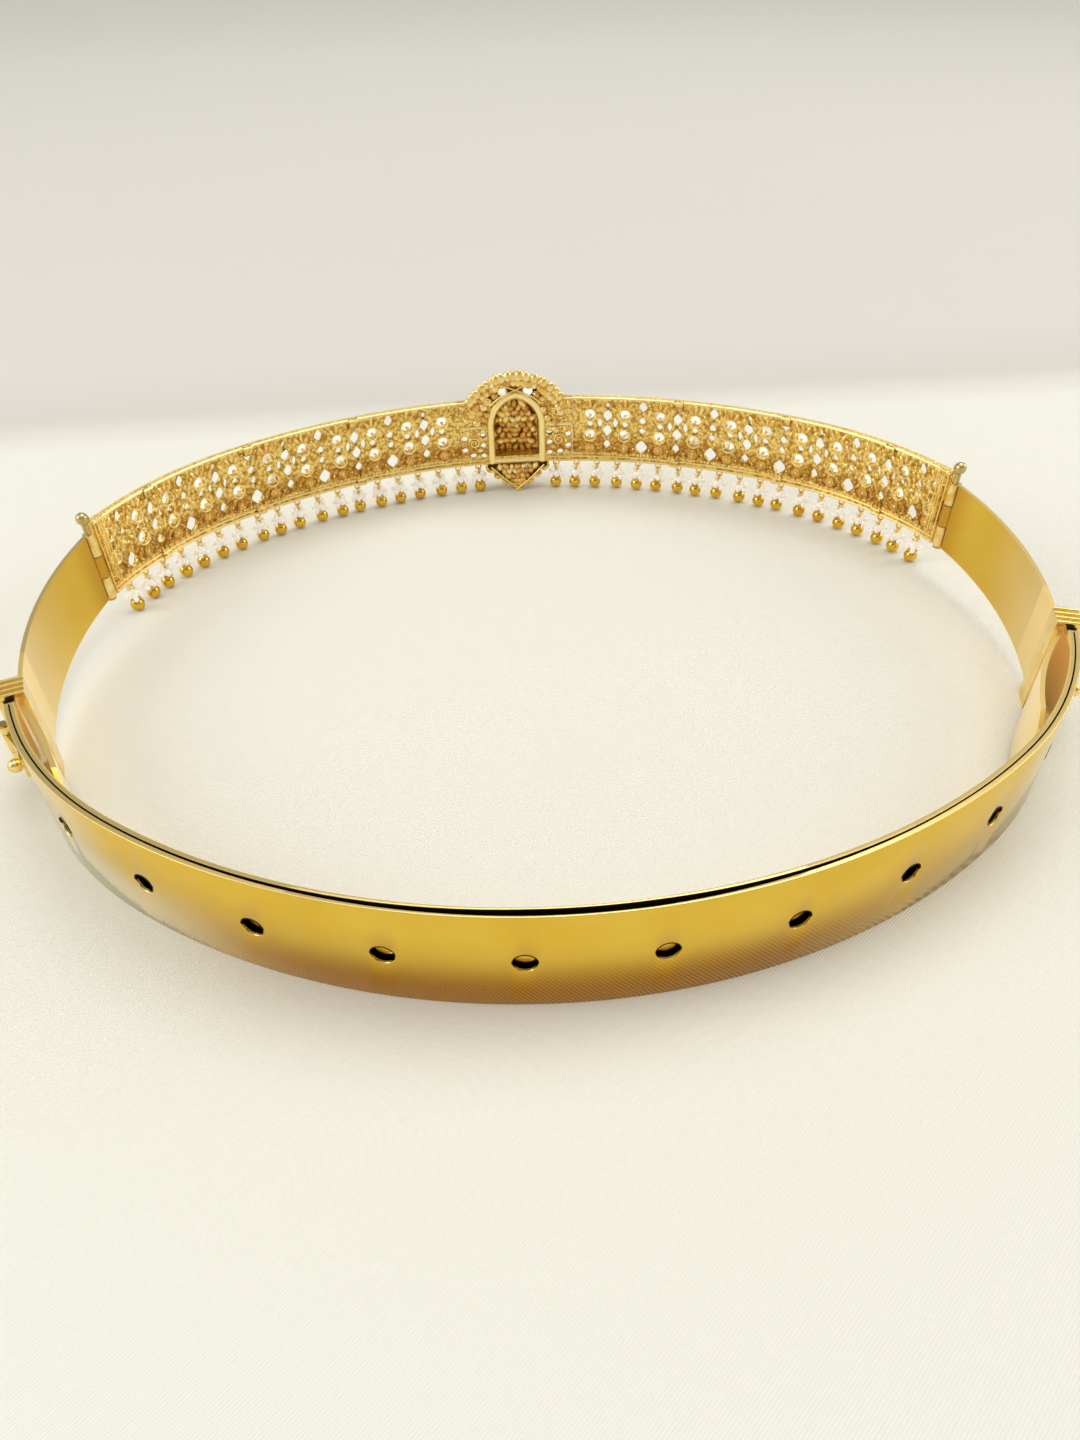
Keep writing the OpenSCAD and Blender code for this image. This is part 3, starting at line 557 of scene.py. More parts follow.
def select_where(piece, test, kind="FACE"):
    """In edit mode, selects the faces or vertices whose place passes the test."""
    pick(piece)
    bpy.ops.object.mode_set(mode="EDIT")
    bpy.context.tool_settings.mesh_select_mode = (kind == "VERT", False, kind == "FACE")
    bpy.ops.mesh.select_all(action="DESELECT")
    bpy.ops.object.mode_set(mode="OBJECT")
    chosen = 0
    for part in piece.data.polygons if kind == "FACE" else piece.data.vertices:
        part.select = test(part.center, part.normal) if kind == "FACE" else test(part.co, None)
        chosen += part.select
    bpy.ops.object.mode_set(mode="EDIT")
    return chosen


def apply_modifier(piece, kind, **settings):
    """Adds a modifier, sets it and applies it."""
    pick(piece)
    modifier = piece.modifiers.new(kind.lower(), kind)
    for name, value in settings.items():
        setattr(modifier, name, value)
    bpy.ops.object.modifier_apply(modifier=modifier.name)
    return piece


def joined(name, pieces):
    """One piece out of many."""
    pick(*pieces)
    bpy.ops.object.join()
    piece = bpy.context.object
    piece.name = name
    piece.data.name = name
    return piece


def cut(piece, cutters):
    """Takes the cutters out of the piece."""
    cutter = joined("cutter", cutters)
    apply_modifier(piece, "BOOLEAN", operation="DIFFERENCE", solver="EXACT", object=cutter)
    pick(cutter)
    bpy.ops.object.delete()
    return piece


def copies(template, places):
    """A copy of the template, with its own mesh, for each matrix in places."""
    made = []
    for place in places:
        mesh = template.data.copy()
        mesh.transform(place)
        if place.determinant() < 0:
            mesh.flip_normals()
        new = bpy.data.objects.new(template.name, mesh)
        bpy.context.collection.objects.link(new)
        made.append(new)
    return made


def paint(piece, material):
    """The piece in this one material."""
    piece.data.materials.clear()
    piece.data.materials.append(material)
    return piece


def finish(piece, body, replaced, angle=35):
    """Smooths a piece, lets it ride on its body and hides the nodes it stands for."""
    pick(piece)
    bpy.ops.object.shade_smooth_by_angle(angle=math.radians(angle))
    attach(piece, body)
    if replaced:
        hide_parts(*replaced)
    print(piece.name, len(piece.data.polygons), "faces")
    return piece


print("helpers for modelling: block, rod, select_where, apply_modifier, joined, cut, copies, paint, finish")

# %% [markdown]
# The belt's path is an oval of four arcs: wide ones at back and front, tight ones at the
# sides. A curve is laid along it from just past the left clasp, round the wearer's right,
# to the middle of the front. A piece that is modelled flat lies with its length along X
# and its outside towards -Y, and a Curve modifier bends it to the path.

# %% The belt's path
STRAP_T = 2.2 * MM
BELT_W = 243.2 * MM
BELT_D = 198.4 * MM
SIDE_R = 88 * MM
SIDE_OFF = -1.8 * MM
DOME_OUT = 8 * MM
side_x = BELT_W / 2 - SIDE_R
wide_r = (side_x ** 2 + (BELT_D / 2) ** 2 - SIDE_R ** 2) / (2 * (BELT_D / 2 - SIDE_R))
wide_y = wide_r - BELT_D / 2
turn = math.atan2(wide_y, side_x)
wide_l = wide_r * (math.pi / 2 - turn)
side_l = 2 * SIDE_R * turn
HALF_L = 2 * wide_l + side_l
LOOP_Y = -(DOME_OUT - STRAP_T / 2 + SIDE_OFF) / 2
PATH_START = -160 * MM
print("half of the path in mm", round(HALF_L / MM, 2))


def spot(s, off=0):
    """The place that lies s along the path and off outside it."""
    if s < -wide_l:
        centre, r, a = (-side_x, 0), SIDE_R, math.pi - turn + (s + wide_l + side_l) / SIDE_R
    elif s < wide_l:
        centre, r, a = (0, wide_y), wide_r, -math.pi / 2 + s / wide_r
    elif s < wide_l + side_l:
        centre, r, a = (side_x, 0), SIDE_R, -turn + (s - wide_l) / SIDE_R
    else:
        centre, r, a = (0, -wide_y), wide_r, turn + (s - wide_l - side_l) / wide_r
    return Vector((centre[0] + (r + off) * math.cos(a), centre[1] + LOOP_Y + (r + off) * math.sin(a), 0))


clear()
bpy.ops.curve.primitive_bezier_curve_add()
path = bpy.context.object
path.name = "path"
path.data.twist_mode = "Z_UP"
path.data.splines.clear()
PATH_STEPS = 540
path_end = HALF_L + 25 * MM
line = path.data.splines.new("POLY")
line.points.add(PATH_STEPS)
for i, point in enumerate(line.points):
    point.co = (*spot(PATH_START + (path_end - PATH_START) * i / PATH_STEPS), 1)

print("the path is drawn with", PATH_STEPS, "steps")

# %% [markdown]
# A real strap is made flat and then bent round a former. The same is done here: a Curve
# modifier bends a flat piece to the path. It can only bend where there are edges, so a
# long piece is first cut across every few millimetres.

# %% Bending
def sliced(piece, step=2 * MM):
    """Cuts the piece across its length every step, so that it can bend."""
    low = min(v.co.x for v in piece.data.vertices)
    high = max(v.co.x for v in piece.data.vertices)
    pick(piece)
    bpy.ops.object.mode_set(mode="EDIT")
    for i in range(1, math.ceil((high - low) / step)):
        bpy.ops.mesh.select_all(action="SELECT")
        bpy.ops.mesh.bisect(plane_co=(low + i * step, 0, 0), plane_no=(1, 0, 0))
    bpy.ops.object.mode_set(mode="OBJECT")
    return piece


def bent(piece):
    """Bends a flat piece, whose X is its place along the path, to the path."""
    piece.data.transform(Matrix.Translation((-PATH_START, 0, 0)))
    return apply_modifier(piece, "CURVE", object=path, deform_axis="POS_X")


print("the path has", len(path.data.splines[0].points), "points")

# %% [markdown]
# The back strap is a flat tube of gold sheet. It could be two sheets soldered at their
# edges. One long box is simpler and stays closed: its top face is inset and sunk, which
# leaves the two thin edges of the sheets with a channel between them. Each end is drawn
# out to the lower neck that slides in a keeper, and the free end has a round tip.

# %% Back strap: the outer form
STRAP_H = 25 * MM
SHEET_T = 0.5 * MM
NECK_S = 139.25 * MM
NECK_H = 23.1 * MM
END_LEFT = 147.95 * MM
END_RIGHT = 152.95 * MM
TIP_R = 5 * MM
TIP_STEPS = 6
RIM = 0.42 * MM
CHANNEL = 1.5 * MM


def end_neck(piece, side, length):
    """Draws one end of the strap out into the lower neck that slides in its keeper."""
    select_where(piece, lambda place, normal: side * normal.x > 0.9)
    bpy.ops.mesh.extrude_region_move()
    bpy.ops.transform.resize(value=(1, 1, NECK_H / STRAP_H), center_override=(0, 0, STRAP_H / 2))
    bpy.ops.mesh.extrude_region_move(TRANSFORM_OT_translate={"value": (side * length, 0, 0)})


def round_tip():
    """Rounds the corners of the end face that is still selected."""
    height = NECK_H
    for i in range(1, TIP_STEPS + 1):
        angle = math.pi / 2 * i / TIP_STEPS
        step = TIP_R * (math.sin(angle) - math.sin(angle - math.pi / 2 / TIP_STEPS))
        wanted = NECK_H - 2 * TIP_R * (1 - math.cos(angle))
        bpy.ops.mesh.extrude_region_move(TRANSFORM_OT_translate={"value": (step, 0, 0)})
        bpy.ops.transform.resize(value=(1, 1, wanted / height), center_override=(0, 0, STRAP_H / 2))
        height = wanted


strap = block((-NECK_S, -STRAP_T / 2, 0), (NECK_S, STRAP_T / 2, STRAP_H))
select_where(strap, lambda place, normal: normal.z > 0.9)
bpy.ops.mesh.inset(thickness=RIM)
bpy.ops.mesh.extrude_region_move(TRANSFORM_OT_translate={"value": (0, 0, -CHANNEL)})
end_neck(strap, -1, END_LEFT - NECK_S)
end_neck(strap, 1, END_RIGHT - TIP_R - NECK_S)
round_tip()
clear()
print("outer form:", len(strap.data.polygons), "faces")

# %% [markdown]
# The strap is hollow, and a row of adjusting holes is punched through its outer sheet for
# the clasps' pegs. A second box and a row of round cutters are taken out with Booleans,
# which is easy while the strap is flat. A bevel then takes the sharpness off every edge.

# %% Back strap: the hollow and the holes
HOLE_D = 4.4 * MM
HOLE_PITCH = 24.5 * MM
HOLES = 12
HOLLOW_Y = 0.1 * MM
STRAP_BEVEL = 0.13 * MM
STRAP_STEP = 2.5 * MM
hole_places = [((i - (HOLES - 1) / 2) * HOLE_PITCH, -STRAP_T / 2, STRAP_H / 2) for i in range(HOLES)]
hollow = block((SHEET_T - NECK_S, SHEET_T - STRAP_T / 2, SHEET_T),
               (NECK_S - SHEET_T, HOLLOW_Y, STRAP_H - CHANNEL - SHEET_T / 2))
punches = [rod(HOLE_D / 2, STRAP_T, "Y", place, 40) for place in hole_places]
cut(strap, [hollow])
cut(strap, punches)
apply_modifier(strap, "BEVEL", width=STRAP_BEVEL, segments=3, limit_method="ANGLE",
               angle_limit=math.radians(40), use_clamp_overlap=False)
sliced(strap, STRAP_STEP)
paint(strap, SHEET_GOLD)
print(HOLES, "holes, and", len(strap.data.polygons), "faces")

# %% [markdown]
# Two places stay dark on the real strap however bright the room is: the channel between
# the sheets, and the upper edge of each hole, both deep in shade. The render's light would
# brighten them, so their faces are selected by place and given painted shade, a near-black gold.

# %% Back strap: painted shade in the channel and at the holes
EPSILON = 0.1 * MM


def in_channel(place, _):
    """The walls and the floor of the channel between the sheets."""
    return (abs(place.y) < STRAP_T / 2 - RIM + 0.02 * MM
            and STRAP_H - CHANNEL - EPSILON < place.z < STRAP_H - 0.08 * MM)


def in_hole_edge(place, normal):
    """The upper part of a hole's rounded edge, which lies in its own shade."""
    nearest = (round(place.x / HOLE_PITCH - 0.5) + 0.5) * HOLE_PITCH
    reach = math.hypot(place.x - nearest, place.z - STRAP_H / 2)
    return (abs(normal.y) < 0.985 and reach < HOLE_D / 2 + 0.16 * MM and place.y < -SHEET_T
            and place.z > STRAP_H / 2 - 0.3 * MM)


def painted_in_shade(piece, test):
    """Gives the faces that pass the test painted shade, and says how many they are."""
    if len(piece.data.materials) < 2:
        piece.data.materials.append(PAINTED_SHADE)
    count = select_where(piece, test)
    piece.active_material_index = 1
    bpy.ops.object.material_slot_assign()
    clear()
    return count


# painted shade in the channel and on the upper edges of the holes
print("dark faces in the channel:", painted_in_shade(strap, in_channel))
print("dark faces at the holes:", painted_in_shade(strap, in_hole_edge))

# %% [markdown]
# Toward its ends the strap's two sheets lie closer together, so the channel narrows there.
# Each hole's punched edge keeps a thin burr, which a small torus gives, and the burr's upper
# half is painted shade that draws a dark line along the hole's top. Then all of it is joined
# and bent to the path.

# %% Back strap: the channel's width, the burrs and the bend
SEAM_OPEN = (-110, -12, 10, 75)
SEAM_SHUT = 0.2
SEAM_FULL = 0.92
BURR_R = 0.1 * MM
BURR_SUNK = 0.03 * MM


def seam_width(s):
    """How far the channel is open at s mm, as a share."""
    left, full_from, full_to, right = SEAM_OPEN
    share = min((s - left) / (full_from - left), (right - s) / (right - full_to), 1)
    return SEAM_SHUT + (SEAM_FULL - SEAM_SHUT) * max(share, 0) ** 2


for vertex in strap.data.vertices:
    if vertex.co.z > STRAP_H - CHANNEL - EPSILON and abs(vertex.co.y) < STRAP_T / 2 - RIM + 0.15 * MM:
        vertex.co.y *= seam_width(vertex.co.x / MM)
burrs = []
for x, y, z in hole_places:
    burr = added(bpy.ops.mesh.primitive_torus_add, major_radius=HOLE_D / 2 + BURR_R, minor_radius=BURR_R,
                 major_segments=32, minor_segments=6, rotation=LYING["Y"], location=(x, y + BURR_SUNK, z))
    # the upper half of each burr is painted shade, the dark line at the hole's top
    painted_in_shade(paint(burr, SHEET_GOLD), lambda place, normal: place.z > STRAP_H / 2 - 0.2 * MM)
    burrs.append(burr)
strap = joined("back_strap_sheet", [strap] + burrs)
finish(bent(strap), "belt", ["back_strap"])

# %% [markdown]
# The front panel is cast in short sections. Each is a plate that is pierced between its
# columns of stones, with two patterns of gaps that take turns: a flower of four leaves,
# and a row of diamonds. The gaps could be drawn one by one on the bent panel. Laid out
# flat in tables, as the caster would, they are easier to read and to change: how far along
# from the middle of the cell, how far up the panel, how wide and how high.

# %% The panel's plan
PANEL_Z = 9.5
PANEL_H = 21.5
BACK_Y = 2.6
FRONT_Y = 1.0
MIDDLE_Y = (BACK_Y + FRONT_Y) / 2
PITCH = 34 / 3
CENTRE_HALF = 18.5
SECTION_L = 34
END_L = 21
COLUMNS = 11
COLLET_R = 2.1
COLLET_WALL = 0.45
LEDGE = 0.06
UPPER_Z = PANEL_Z + 0.725 * PANEL_H
LOWER_Z = PANEL_Z + 0.415 * PANEL_H
BETWEEN_Z = (UPPER_Z + LOWER_Z) / 2
BOSS_Z = PANEL_Z + 0.22 * PANEL_H
FLOWER = [(0, 0.71, 0.26, 0.19), (0, 0.48, 0.26, 0.19), (-0.22, 0.595, 0.13, 0.16),
          (0.22, 0.595, 0.13, 0.16), (0, 0.87, 0.12, 0.09), (0, 0.27, 0.2, 0.14)]
DIAMOND = [(0, 0.86, 0.24, 0.17), (0, 0.645, 0.2, 0.13), (0, 0.495, 0.18, 0.11), (0, 0.24, 0.34, 0.22)]
half_l_mm = HALF_L / MM


def column_u(i):
    """Where column i stands, in mm from the middle of the front."""
    return CENTRE_HALF + (i + 0.5) * PITCH


def at(u, y, z, tilt=0, scale=(1, 1, 1)):
    """The matrix that stands a template u from the front's middle, tilted in the panel's plane."""
    place = Vector((half_l_mm - u, y, z)) * MM
    return Matrix.Translation(place) @ Matrix.Rotation(tilt, 4, "Y") @ Matrix.Diagonal((*scale, 1))

print("the panel has", COLUMNS, "columns of stones on each side of the middle")

# %% [markdown]
# The ornament is made of a few small shapes, as on the real casting: rings of wire,
# granules, and pointed leaves. Modelling every one in its place would take days, so each
# is modelled once, half sunk in the plate, and copied.

# %% Small shapes of the ornament
PROUD = 0.2
COLLET_L = 1.2


def wire_ring(radius, wire, around=20, sides=6):
    """A ring of wire, in mm, that faces the front."""
    return added(bpy.ops.mesh.primitive_torus_add, major_radius=radius * MM, minor_radius=wire * MM,
                 major_segments=around, minor_segments=sides, rotation=LYING["Y"])


def granule(radius, segments=8, rings=5):
    """A small ball, in mm."""
    return added(bpy.ops.mesh.primitive_uv_sphere_add, radius=radius * MM, segments=segments,
                 ring_count=rings)


def leaf(length, width, thick):
    """A pointed leaf along Z."""
    new = granule(1, 8, 7)
    select_where(new, lambda place, _: abs(place.z) > 0.7 * MM, "VERT")
    bpy.ops.transform.resize(value=(0.55, 0.55, 1.1), center_override=(0, 0, 0))
    clear()
    new.data.transform(Matrix.Diagonal((width / 2, thick, length / 2, 1)))
    return new


def post(radius, y0, y1):
    """A round bar across the panel, from y0 to y1, in mm."""
    return rod(radius * MM, abs(y1 - y0) * MM, "Y", (0, (y0 + y1) / 2 * MM, 0), 24)


def collet():
    """The tube round a stone, which stands out in front of the plate."""
    new = rod(COLLET_R * MM, COLLET_L * MM, "Y", (0, (FRONT_Y - PROUD) * MM, 0), 24, end_fill_type="NOTHING")
    apply_modifier(new, "SOLIDIFY", thickness=COLLET_WALL * MM, offset=-1)
    return apply_modifier(new, "BEVEL", width=0.1 * MM, segments=2, limit_method="ANGLE")


def stone_bed():
    """The drop of gold on a bar that the point of a stone is bedded in."""
    middle = granule(0.62, 10, 7)
    middle.data.transform(Matrix.Diagonal((1, 0.45, 1, 1)))
    bar = rod(0.13 * MM, 2 * (COLLET_R - COLLET_WALL) * MM, "X", sides=6)
    return joined("stone_bed", [middle, bar])


shapes = {
    "collet": (collet(), CAST_GOLD),
    # the bosses, shaded beads and shaded leaves are painted shade; the back rings take the highlit gold,
    # painted highlight
    "boss": (post(1.5, FRONT_Y - PROUD, BACK_Y + PROUD), SHADED_GOLD),
    "back_ring": (wire_ring(1.95, 0.26), HIGHLIT_GOLD),
    "stone_bed": (stone_bed(), CAST_GOLD),
    "small_ring": (wire_ring(1.38, 0.16, 16, 5), WIRE_GOLD),
    "grain": (granule(0.28), WIRE_GOLD),
    "bead": (granule(0.45), WIRE_GOLD),
    "big_bead": (granule(0.62, 10, 7), WIRE_GOLD),
    "shaded_bead": (granule(0.45), SHADED_GOLD),
    "leaf": (leaf(2.7, 1.25, 0.6), CAST_GOLD),
    "shaded_leaf": (leaf(2.4, 1.1, 0.5), SHADED_GOLD),
    "eyelet": (wire_ring(0.85, 0.25, 20, 8), WIRE_GOLD),
}
templates = {name: paint(piece, material) for name, (piece, material) in shapes.items()}
print("small shapes:", {name: len(t.data.polygons) for name, t in templates.items()})

# %% [markdown]
# The plate is pierced from its back, so each gap is a little wider there, which also lets
# more daylight through to the camera. The cutters are modelled once too: a pointed oval
# that is scaled to each gap, a cone for the small round ones, and two bars for a stone's
# seat, a narrow one that goes through and a wider one that stops halfway as a ledge.

# %% Cutters of the plate
OVAL_L = 6 * MM
WIDER_BACK, NARROWER_FRONT = 1.31, 0.79


def pointed_oval():
    """A cutter one metre wide and high, which is scaled to each gap. It widens to the back."""
    new = rod(0.5, OVAL_L, "Y")
    select_where(new, lambda place, _: abs(place.x) > 0.1 and abs(place.z) > 0.1, "VERT")
    bpy.ops.transform.resize(value=(1.02, 1, 0.62), center_override=(0, 0, 0))
    for way, wider in ((1, WIDER_BACK), (-1, NARROWER_FRONT)):
        select_where(new, lambda place, _: way * place.y > 0, "VERT")
        bpy.ops.transform.resize(value=(wider, 1, wider), center_override=(0, 0, 0))
    clear()
    return new


templates["oval"] = pointed_oval()
templates["through"] = post(COLLET_R - COLLET_WALL - LEDGE, -1, 5)
templates["seat"] = post(COLLET_R - COLLET_WALL, -1, MIDDLE_Y)
templates["between"] = added(bpy.ops.mesh.primitive_cone_add, vertices=16, radius1=1.43 * MM,
                             radius2=0.455 * MM, depth=3 * MM, location=(0, 1.5 * MM, 0), rotation=LYING["Y"])
print("cutters:", ("oval", "through", "seat", "between"))

# %% [markdown]
# The tables below say where the ornament lies round a column and in each kind of cell:
# its shape, how far along, how high, and how far it leans. It lies on both faces.

# %% The ornament's plan
# shaded leaves and beads are painted shade, mostly low on the panel below the stones
COLUMN_ORNAMENT = [
    ("leaf", 0, 29.0, 0), ("leaf", -1.5, 28.3, -0.6), ("leaf", 1.5, 28.3, 0.6),
    ("bead", -2.9, 26.9, 0), ("bead", 2.9, 26.9, 0), ("grain", -2.3, 21.75, 0), ("grain", 2.3, 21.75, 0),
    ("shaded_leaf", -2.5, 15.6, 0.8), ("shaded_leaf", 2.5, 15.6, -0.8),
    ("shaded_leaf", -2.3, 12.8, -0.9), ("shaded_leaf", 2.3, 12.8, 0.9), ("shaded_bead", 0, 12.3, 0),
    ("bead", -3.0, 14.2, 0), ("bead", 3.0, 14.2, 0),
]
FLOWER_ORNAMENT = [
    ("bead", 0, 22.3, 0), ("leaf", -1.8, 27.4, 0.7), ("leaf", 1.8, 27.4, -0.7),
    ("grain", -2.3, 25.2, 0), ("grain", 2.3, 25.2, 0), ("grain", -2.3, 19.3, 0), ("grain", 2.3, 19.3, 0),
    ("shaded_leaf", -1.7, 17.3, -0.7), ("shaded_leaf", 1.7, 17.3, 0.7),
    ("shaded_bead", -2.0, 14.6, 0), ("shaded_bead", 2.0, 14.6, 0),
    ("leaf", 0, 12.4, math.pi / 2), ("grain", -1.9, 12.2, 0), ("grain", 1.9, 12.2, 0),
]
DIAMOND_ORNAMENT = [
    ("leaf", -1.9, 25.6, -0.5), ("leaf", 1.9, 25.6, 0.5), ("bead", -2.1, 28.9, 0), ("bead", 2.1, 28.9, 0),
    ("shaded_bead", -2.2, 23.4, 0), ("shaded_bead", 2.2, 23.4, 0),
    ("leaf", -2.1, 20.6, 0.9), ("leaf", 2.1, 20.6, -0.9), ("bead", 0, 21.9, 0), ("bead", 0, 18.1, 0),
    ("shaded_leaf", -2.0, 17.6, -0.7), ("shaded_leaf", 2.0, 17.6, 0.7),
    ("grain", -2.6, 12.2, 0), ("grain", 2.6, 12.2, 0), ("grain", 0, 11.9, 0),
]
PETALS = 6
PETALS_R = 1.1
MARGIN = 0.4


def ornament(u0, u1, y, turned_round):
    """Copies of the small shapes on one face of the section between u0 and u1."""
    places = {}

    def put(kind, u, z, tilt=0):
        """Notes one place, if it lies on this section."""
        if u0 + MARGIN < u < u1 - MARGIN:
            places.setdefault(kind, []).append(at(u, y, z, turned_round * tilt))

    for i in range(-1, COLUMNS):
        u = column_u(i)
        if i >= 0:
            for kind, along, up, tilt in COLUMN_ORNAMENT:
                put(kind, u - along, up, tilt)
            put("small_ring", u, BETWEEN_Z)
            put("big_bead", u, BOSS_Z)
            for p in range(PETALS):
                angle = 2 * math.pi * p / PETALS
                put("shaded_bead", u + PETALS_R * math.sin(angle), BOSS_Z + PETALS_R * math.cos(angle))
            if turned_round > 0:
                for z in (UPPER_Z, LOWER_Z):
                    put("back_ring", u, z)
                    put("stone_bed", u, z, 0.5)
        for kind, along, up, tilt in FLOWER_ORNAMENT if i % 2 == 0 else DIAMOND_ORNAMENT:
            if 0 <= i < COLUMNS - 1:
                put(kind, u + PITCH / 2 - along, up, tilt)
    return [one for kind, matrices in places.items() for one in copies(templates[kind], matrices)]


print("ornament round a column:", len(COLUMN_ORNAMENT), "and in the cells:", len(FLOWER_ORNAMENT),
      "and", len(DIAMOND_ORNAMENT))

# %% [markdown]
# A section is put together flat: the pierced plate, its collets and bosses, the wires and
# beads of its rails, the eyelets for the drops, the plates that tie it to the next one,
# and the ornament of both faces. Then all of it is bent at once to the belt's path, which
# keeps every small shape where it belongs.

# %% Plate of a section
FIT = 0.1
SLOT = (0.6, 0.66 * PANEL_H)
PLATE_BEVEL = 0.14 * MM


def flat_block(u0, u1, y0, y1, z0, z1):
    """A box given by its stretch along the panel, in mm."""
    return block(Vector((half_l_mm - u1, y0, z0)) * MM, Vector((half_l_mm - u0, y1, z1)) * MM)


def gap_cutters(middle, gaps):
    """The cutters for the gaps of the cell with this middle."""
    return copies(templates["oval"], [
        at(middle + along * PITCH, MIDDLE_Y, PANEL_Z + up * PANEL_H, 0,
           (wide * PITCH * MM, 1, high * PANEL_H * MM)) for along, up, wide, high in gaps])


def pierced_plate(u0, u1, is_end):
    """The plate between u0 and u1, with its gaps and its seats cut."""
    plate = flat_block(u0, u1, FRONT_Y, BACK_Y, PANEL_Z, PANEL_Z + PANEL_H)
    cutters = []
    for i in range(COLUMNS):
        if u0 < column_u(i) < u1:
            cutters += copies(templates["through"], [at(column_u(i), 0, z) for z in (UPPER_Z, LOWER_Z)])
            cutters += copies(templates["between"], [at(column_u(i), 0, BETWEEN_Z)])
        middle = column_u(i) + PITCH / 2
        if i < COLUMNS - 1 and u0 - 1 < middle < u1 + 1:
            cutters += gap_cutters(middle, FLOWER if i % 2 == 0 else DIAMOND)
    if is_end:
        middle = u1 - 1.5 * SLOT[0]
        z = PANEL_Z + PANEL_H / 2
        cutters.append(flat_block(middle - SLOT[0] / 2, middle + SLOT[0] / 2, -1, 5,
                                  z - SLOT[1] / 2, z + SLOT[1] / 2))
    cut(plate, cutters)
    seats = [at(column_u(i), 0, z) for i in range(COLUMNS) if u0 < column_u(i) < u1
             for z in (UPPER_Z, LOWER_Z)]
    cut(plate, copies(templates["seat"], seats))
    apply_modifier(plate, "BEVEL", width=PLATE_BEVEL, segments=2, limit_method="ANGLE",
                   angle_limit=math.radians(40), use_clamp_overlap=False)
    return paint(sliced(plate), GROUND_GOLD)


print("a plate is", PANEL_H, "mm high and", round(BACK_Y - FRONT_Y, 2), "mm thick")

# %% [markdown]
# Round wires edge the panel, with rows of beads along them. A wire is a long cylinder. A
# row of beads is one bead and an Array modifier, which keeps the steps even and can be
# changed later by one number.

# %% Rails of a section
# rail wires and bead rows take the highlit gold: a satin gloss and painted highlight
RAIL_WIRES = [(10.0, 0.36), (11.25, 0.3), (30.55, 0.36)]
BEAD_ROWS = [(FRONT_Y + 0.35, PANEL_Z + PANEL_H, 0.62, 0.27), (BACK_Y - 0.35, PANEL_Z + PANEL_H, 0.62, 0.27),
             (BACK_Y + 0.05, 12.3, 1.15, 0.36)]


def rails(u0, u1):
    """Wires along the rails of both faces, and rows of beads along the top edge and the low rail."""
    made = []
    for z, r in RAIL_WIRES:
        for y in (FRONT_Y, BACK_Y):
            wire = rod(r * MM, (u1 - u0) * MM, "X", Vector((half_l_mm - (u0 + u1) / 2, y, z)) * MM)
            made.append(paint(sliced(wire), HIGHLIT_GOLD))
    for y, z, pitch, size in BEAD_ROWS:
        count = int((u1 - u0) / pitch)
        row = paint(granule(size, 6, 4), HIGHLIT_GOLD)
        row.data.transform(at(u1 - pitch / 2, y, z))
        made.append(apply_modifier(row, "ARRAY", count=count, use_relative_offset=False,
                                   use_constant_offset=True,
                                   constant_offset_displace=((u1 - u0) / count * MM, 0, 0)))
    return made


print("rail wires at", [z for z, _ in RAIL_WIRES], "mm up")

# %% [markdown]
# Small plates at the back tie each section to the next, so that the panel can be flexed a
# little when it is made. The last section ends in upright wires and in two knuckles of the
# hinge, each a barrel with a bore for the pin and a web that carries it.

# %% Ties and hinge of a section
END_RIBS = [0.35, 1.75, 2.6, 3.5]
RIB_R = 0.34
TIE = 3
TIE_T = 0.6
TIE_UP, TIE_DOWN = 1.4, 1.2
KNUCKLE_R = 1.6
WEB_HALF = 0.5
HINGE_PIN_R = 0.85
SIDE_H = 19
HINGE_U = CENTRE_HALF + 3 * SECTION_L + END_L + KNUCKLE_R + 2 * FIT


def tie_plates(u):
    """The two plates that tie the section that ends at u to the next, and the rails across them."""
    made = []
    for z in (PANEL_Z + TIE_UP, PANEL_Z + PANEL_H - TIE_DOWN):
        plate = flat_block(u - TIE / 2, u + TIE / 2, BACK_Y + FIT, BACK_Y + FIT + TIE_T,
                           z - TIE / 2, z + TIE / 2)
        foot = flat_block(u - TIE / 2, u - FIT, BACK_Y - FIT, BACK_Y + TIE_T / 2, z - TIE / 2, z + TIE / 2)
        for one in (plate, foot):
            apply_modifier(one, "BEVEL", width=0.12 * MM, segments=2)
            made.append(paint(one, GROUND_GOLD))
    for z, r in RAIL_WIRES:
        made.append(paint(rod(r * MM, TIE * MM, "X", Vector((half_l_mm - u, BACK_Y + FIT + TIE_T, z)) * MM),
                          HIGHLIT_GOLD))
    return made


def hinge_knuckles():
    """The two knuckles of the end section, with the webs that carry them."""
    made = []
    high = SIDE_H / 3 - 2 * FIT
    for third in (0, 2):
        z0 = PANEL_Z + third * SIDE_H / 3 + FIT
        place = Vector((half_l_mm - HINGE_U, MIDDLE_Y, z0 + high / 2)) * MM
        barrel = rod(KNUCKLE_R * MM, high * MM, "Z", place, 28)
        bore = rod(HINGE_PIN_R * MM, 2 * high * MM, "Z", place, 20)
        web = flat_block(HINGE_U - KNUCKLE_R - 4 * FIT, HINGE_U - HINGE_PIN_R - FIT,
                         MIDDLE_Y - WEB_HALF, MIDDLE_Y + WEB_HALF, z0, z0 + high)
        cut(barrel, [bore])
        apply_modifier(barrel, "BEVEL", width=0.15 * MM, segments=2, limit_method="ANGLE")
        made += [paint(barrel, CAST_GOLD), paint(web, CAST_GOLD)]
    return made


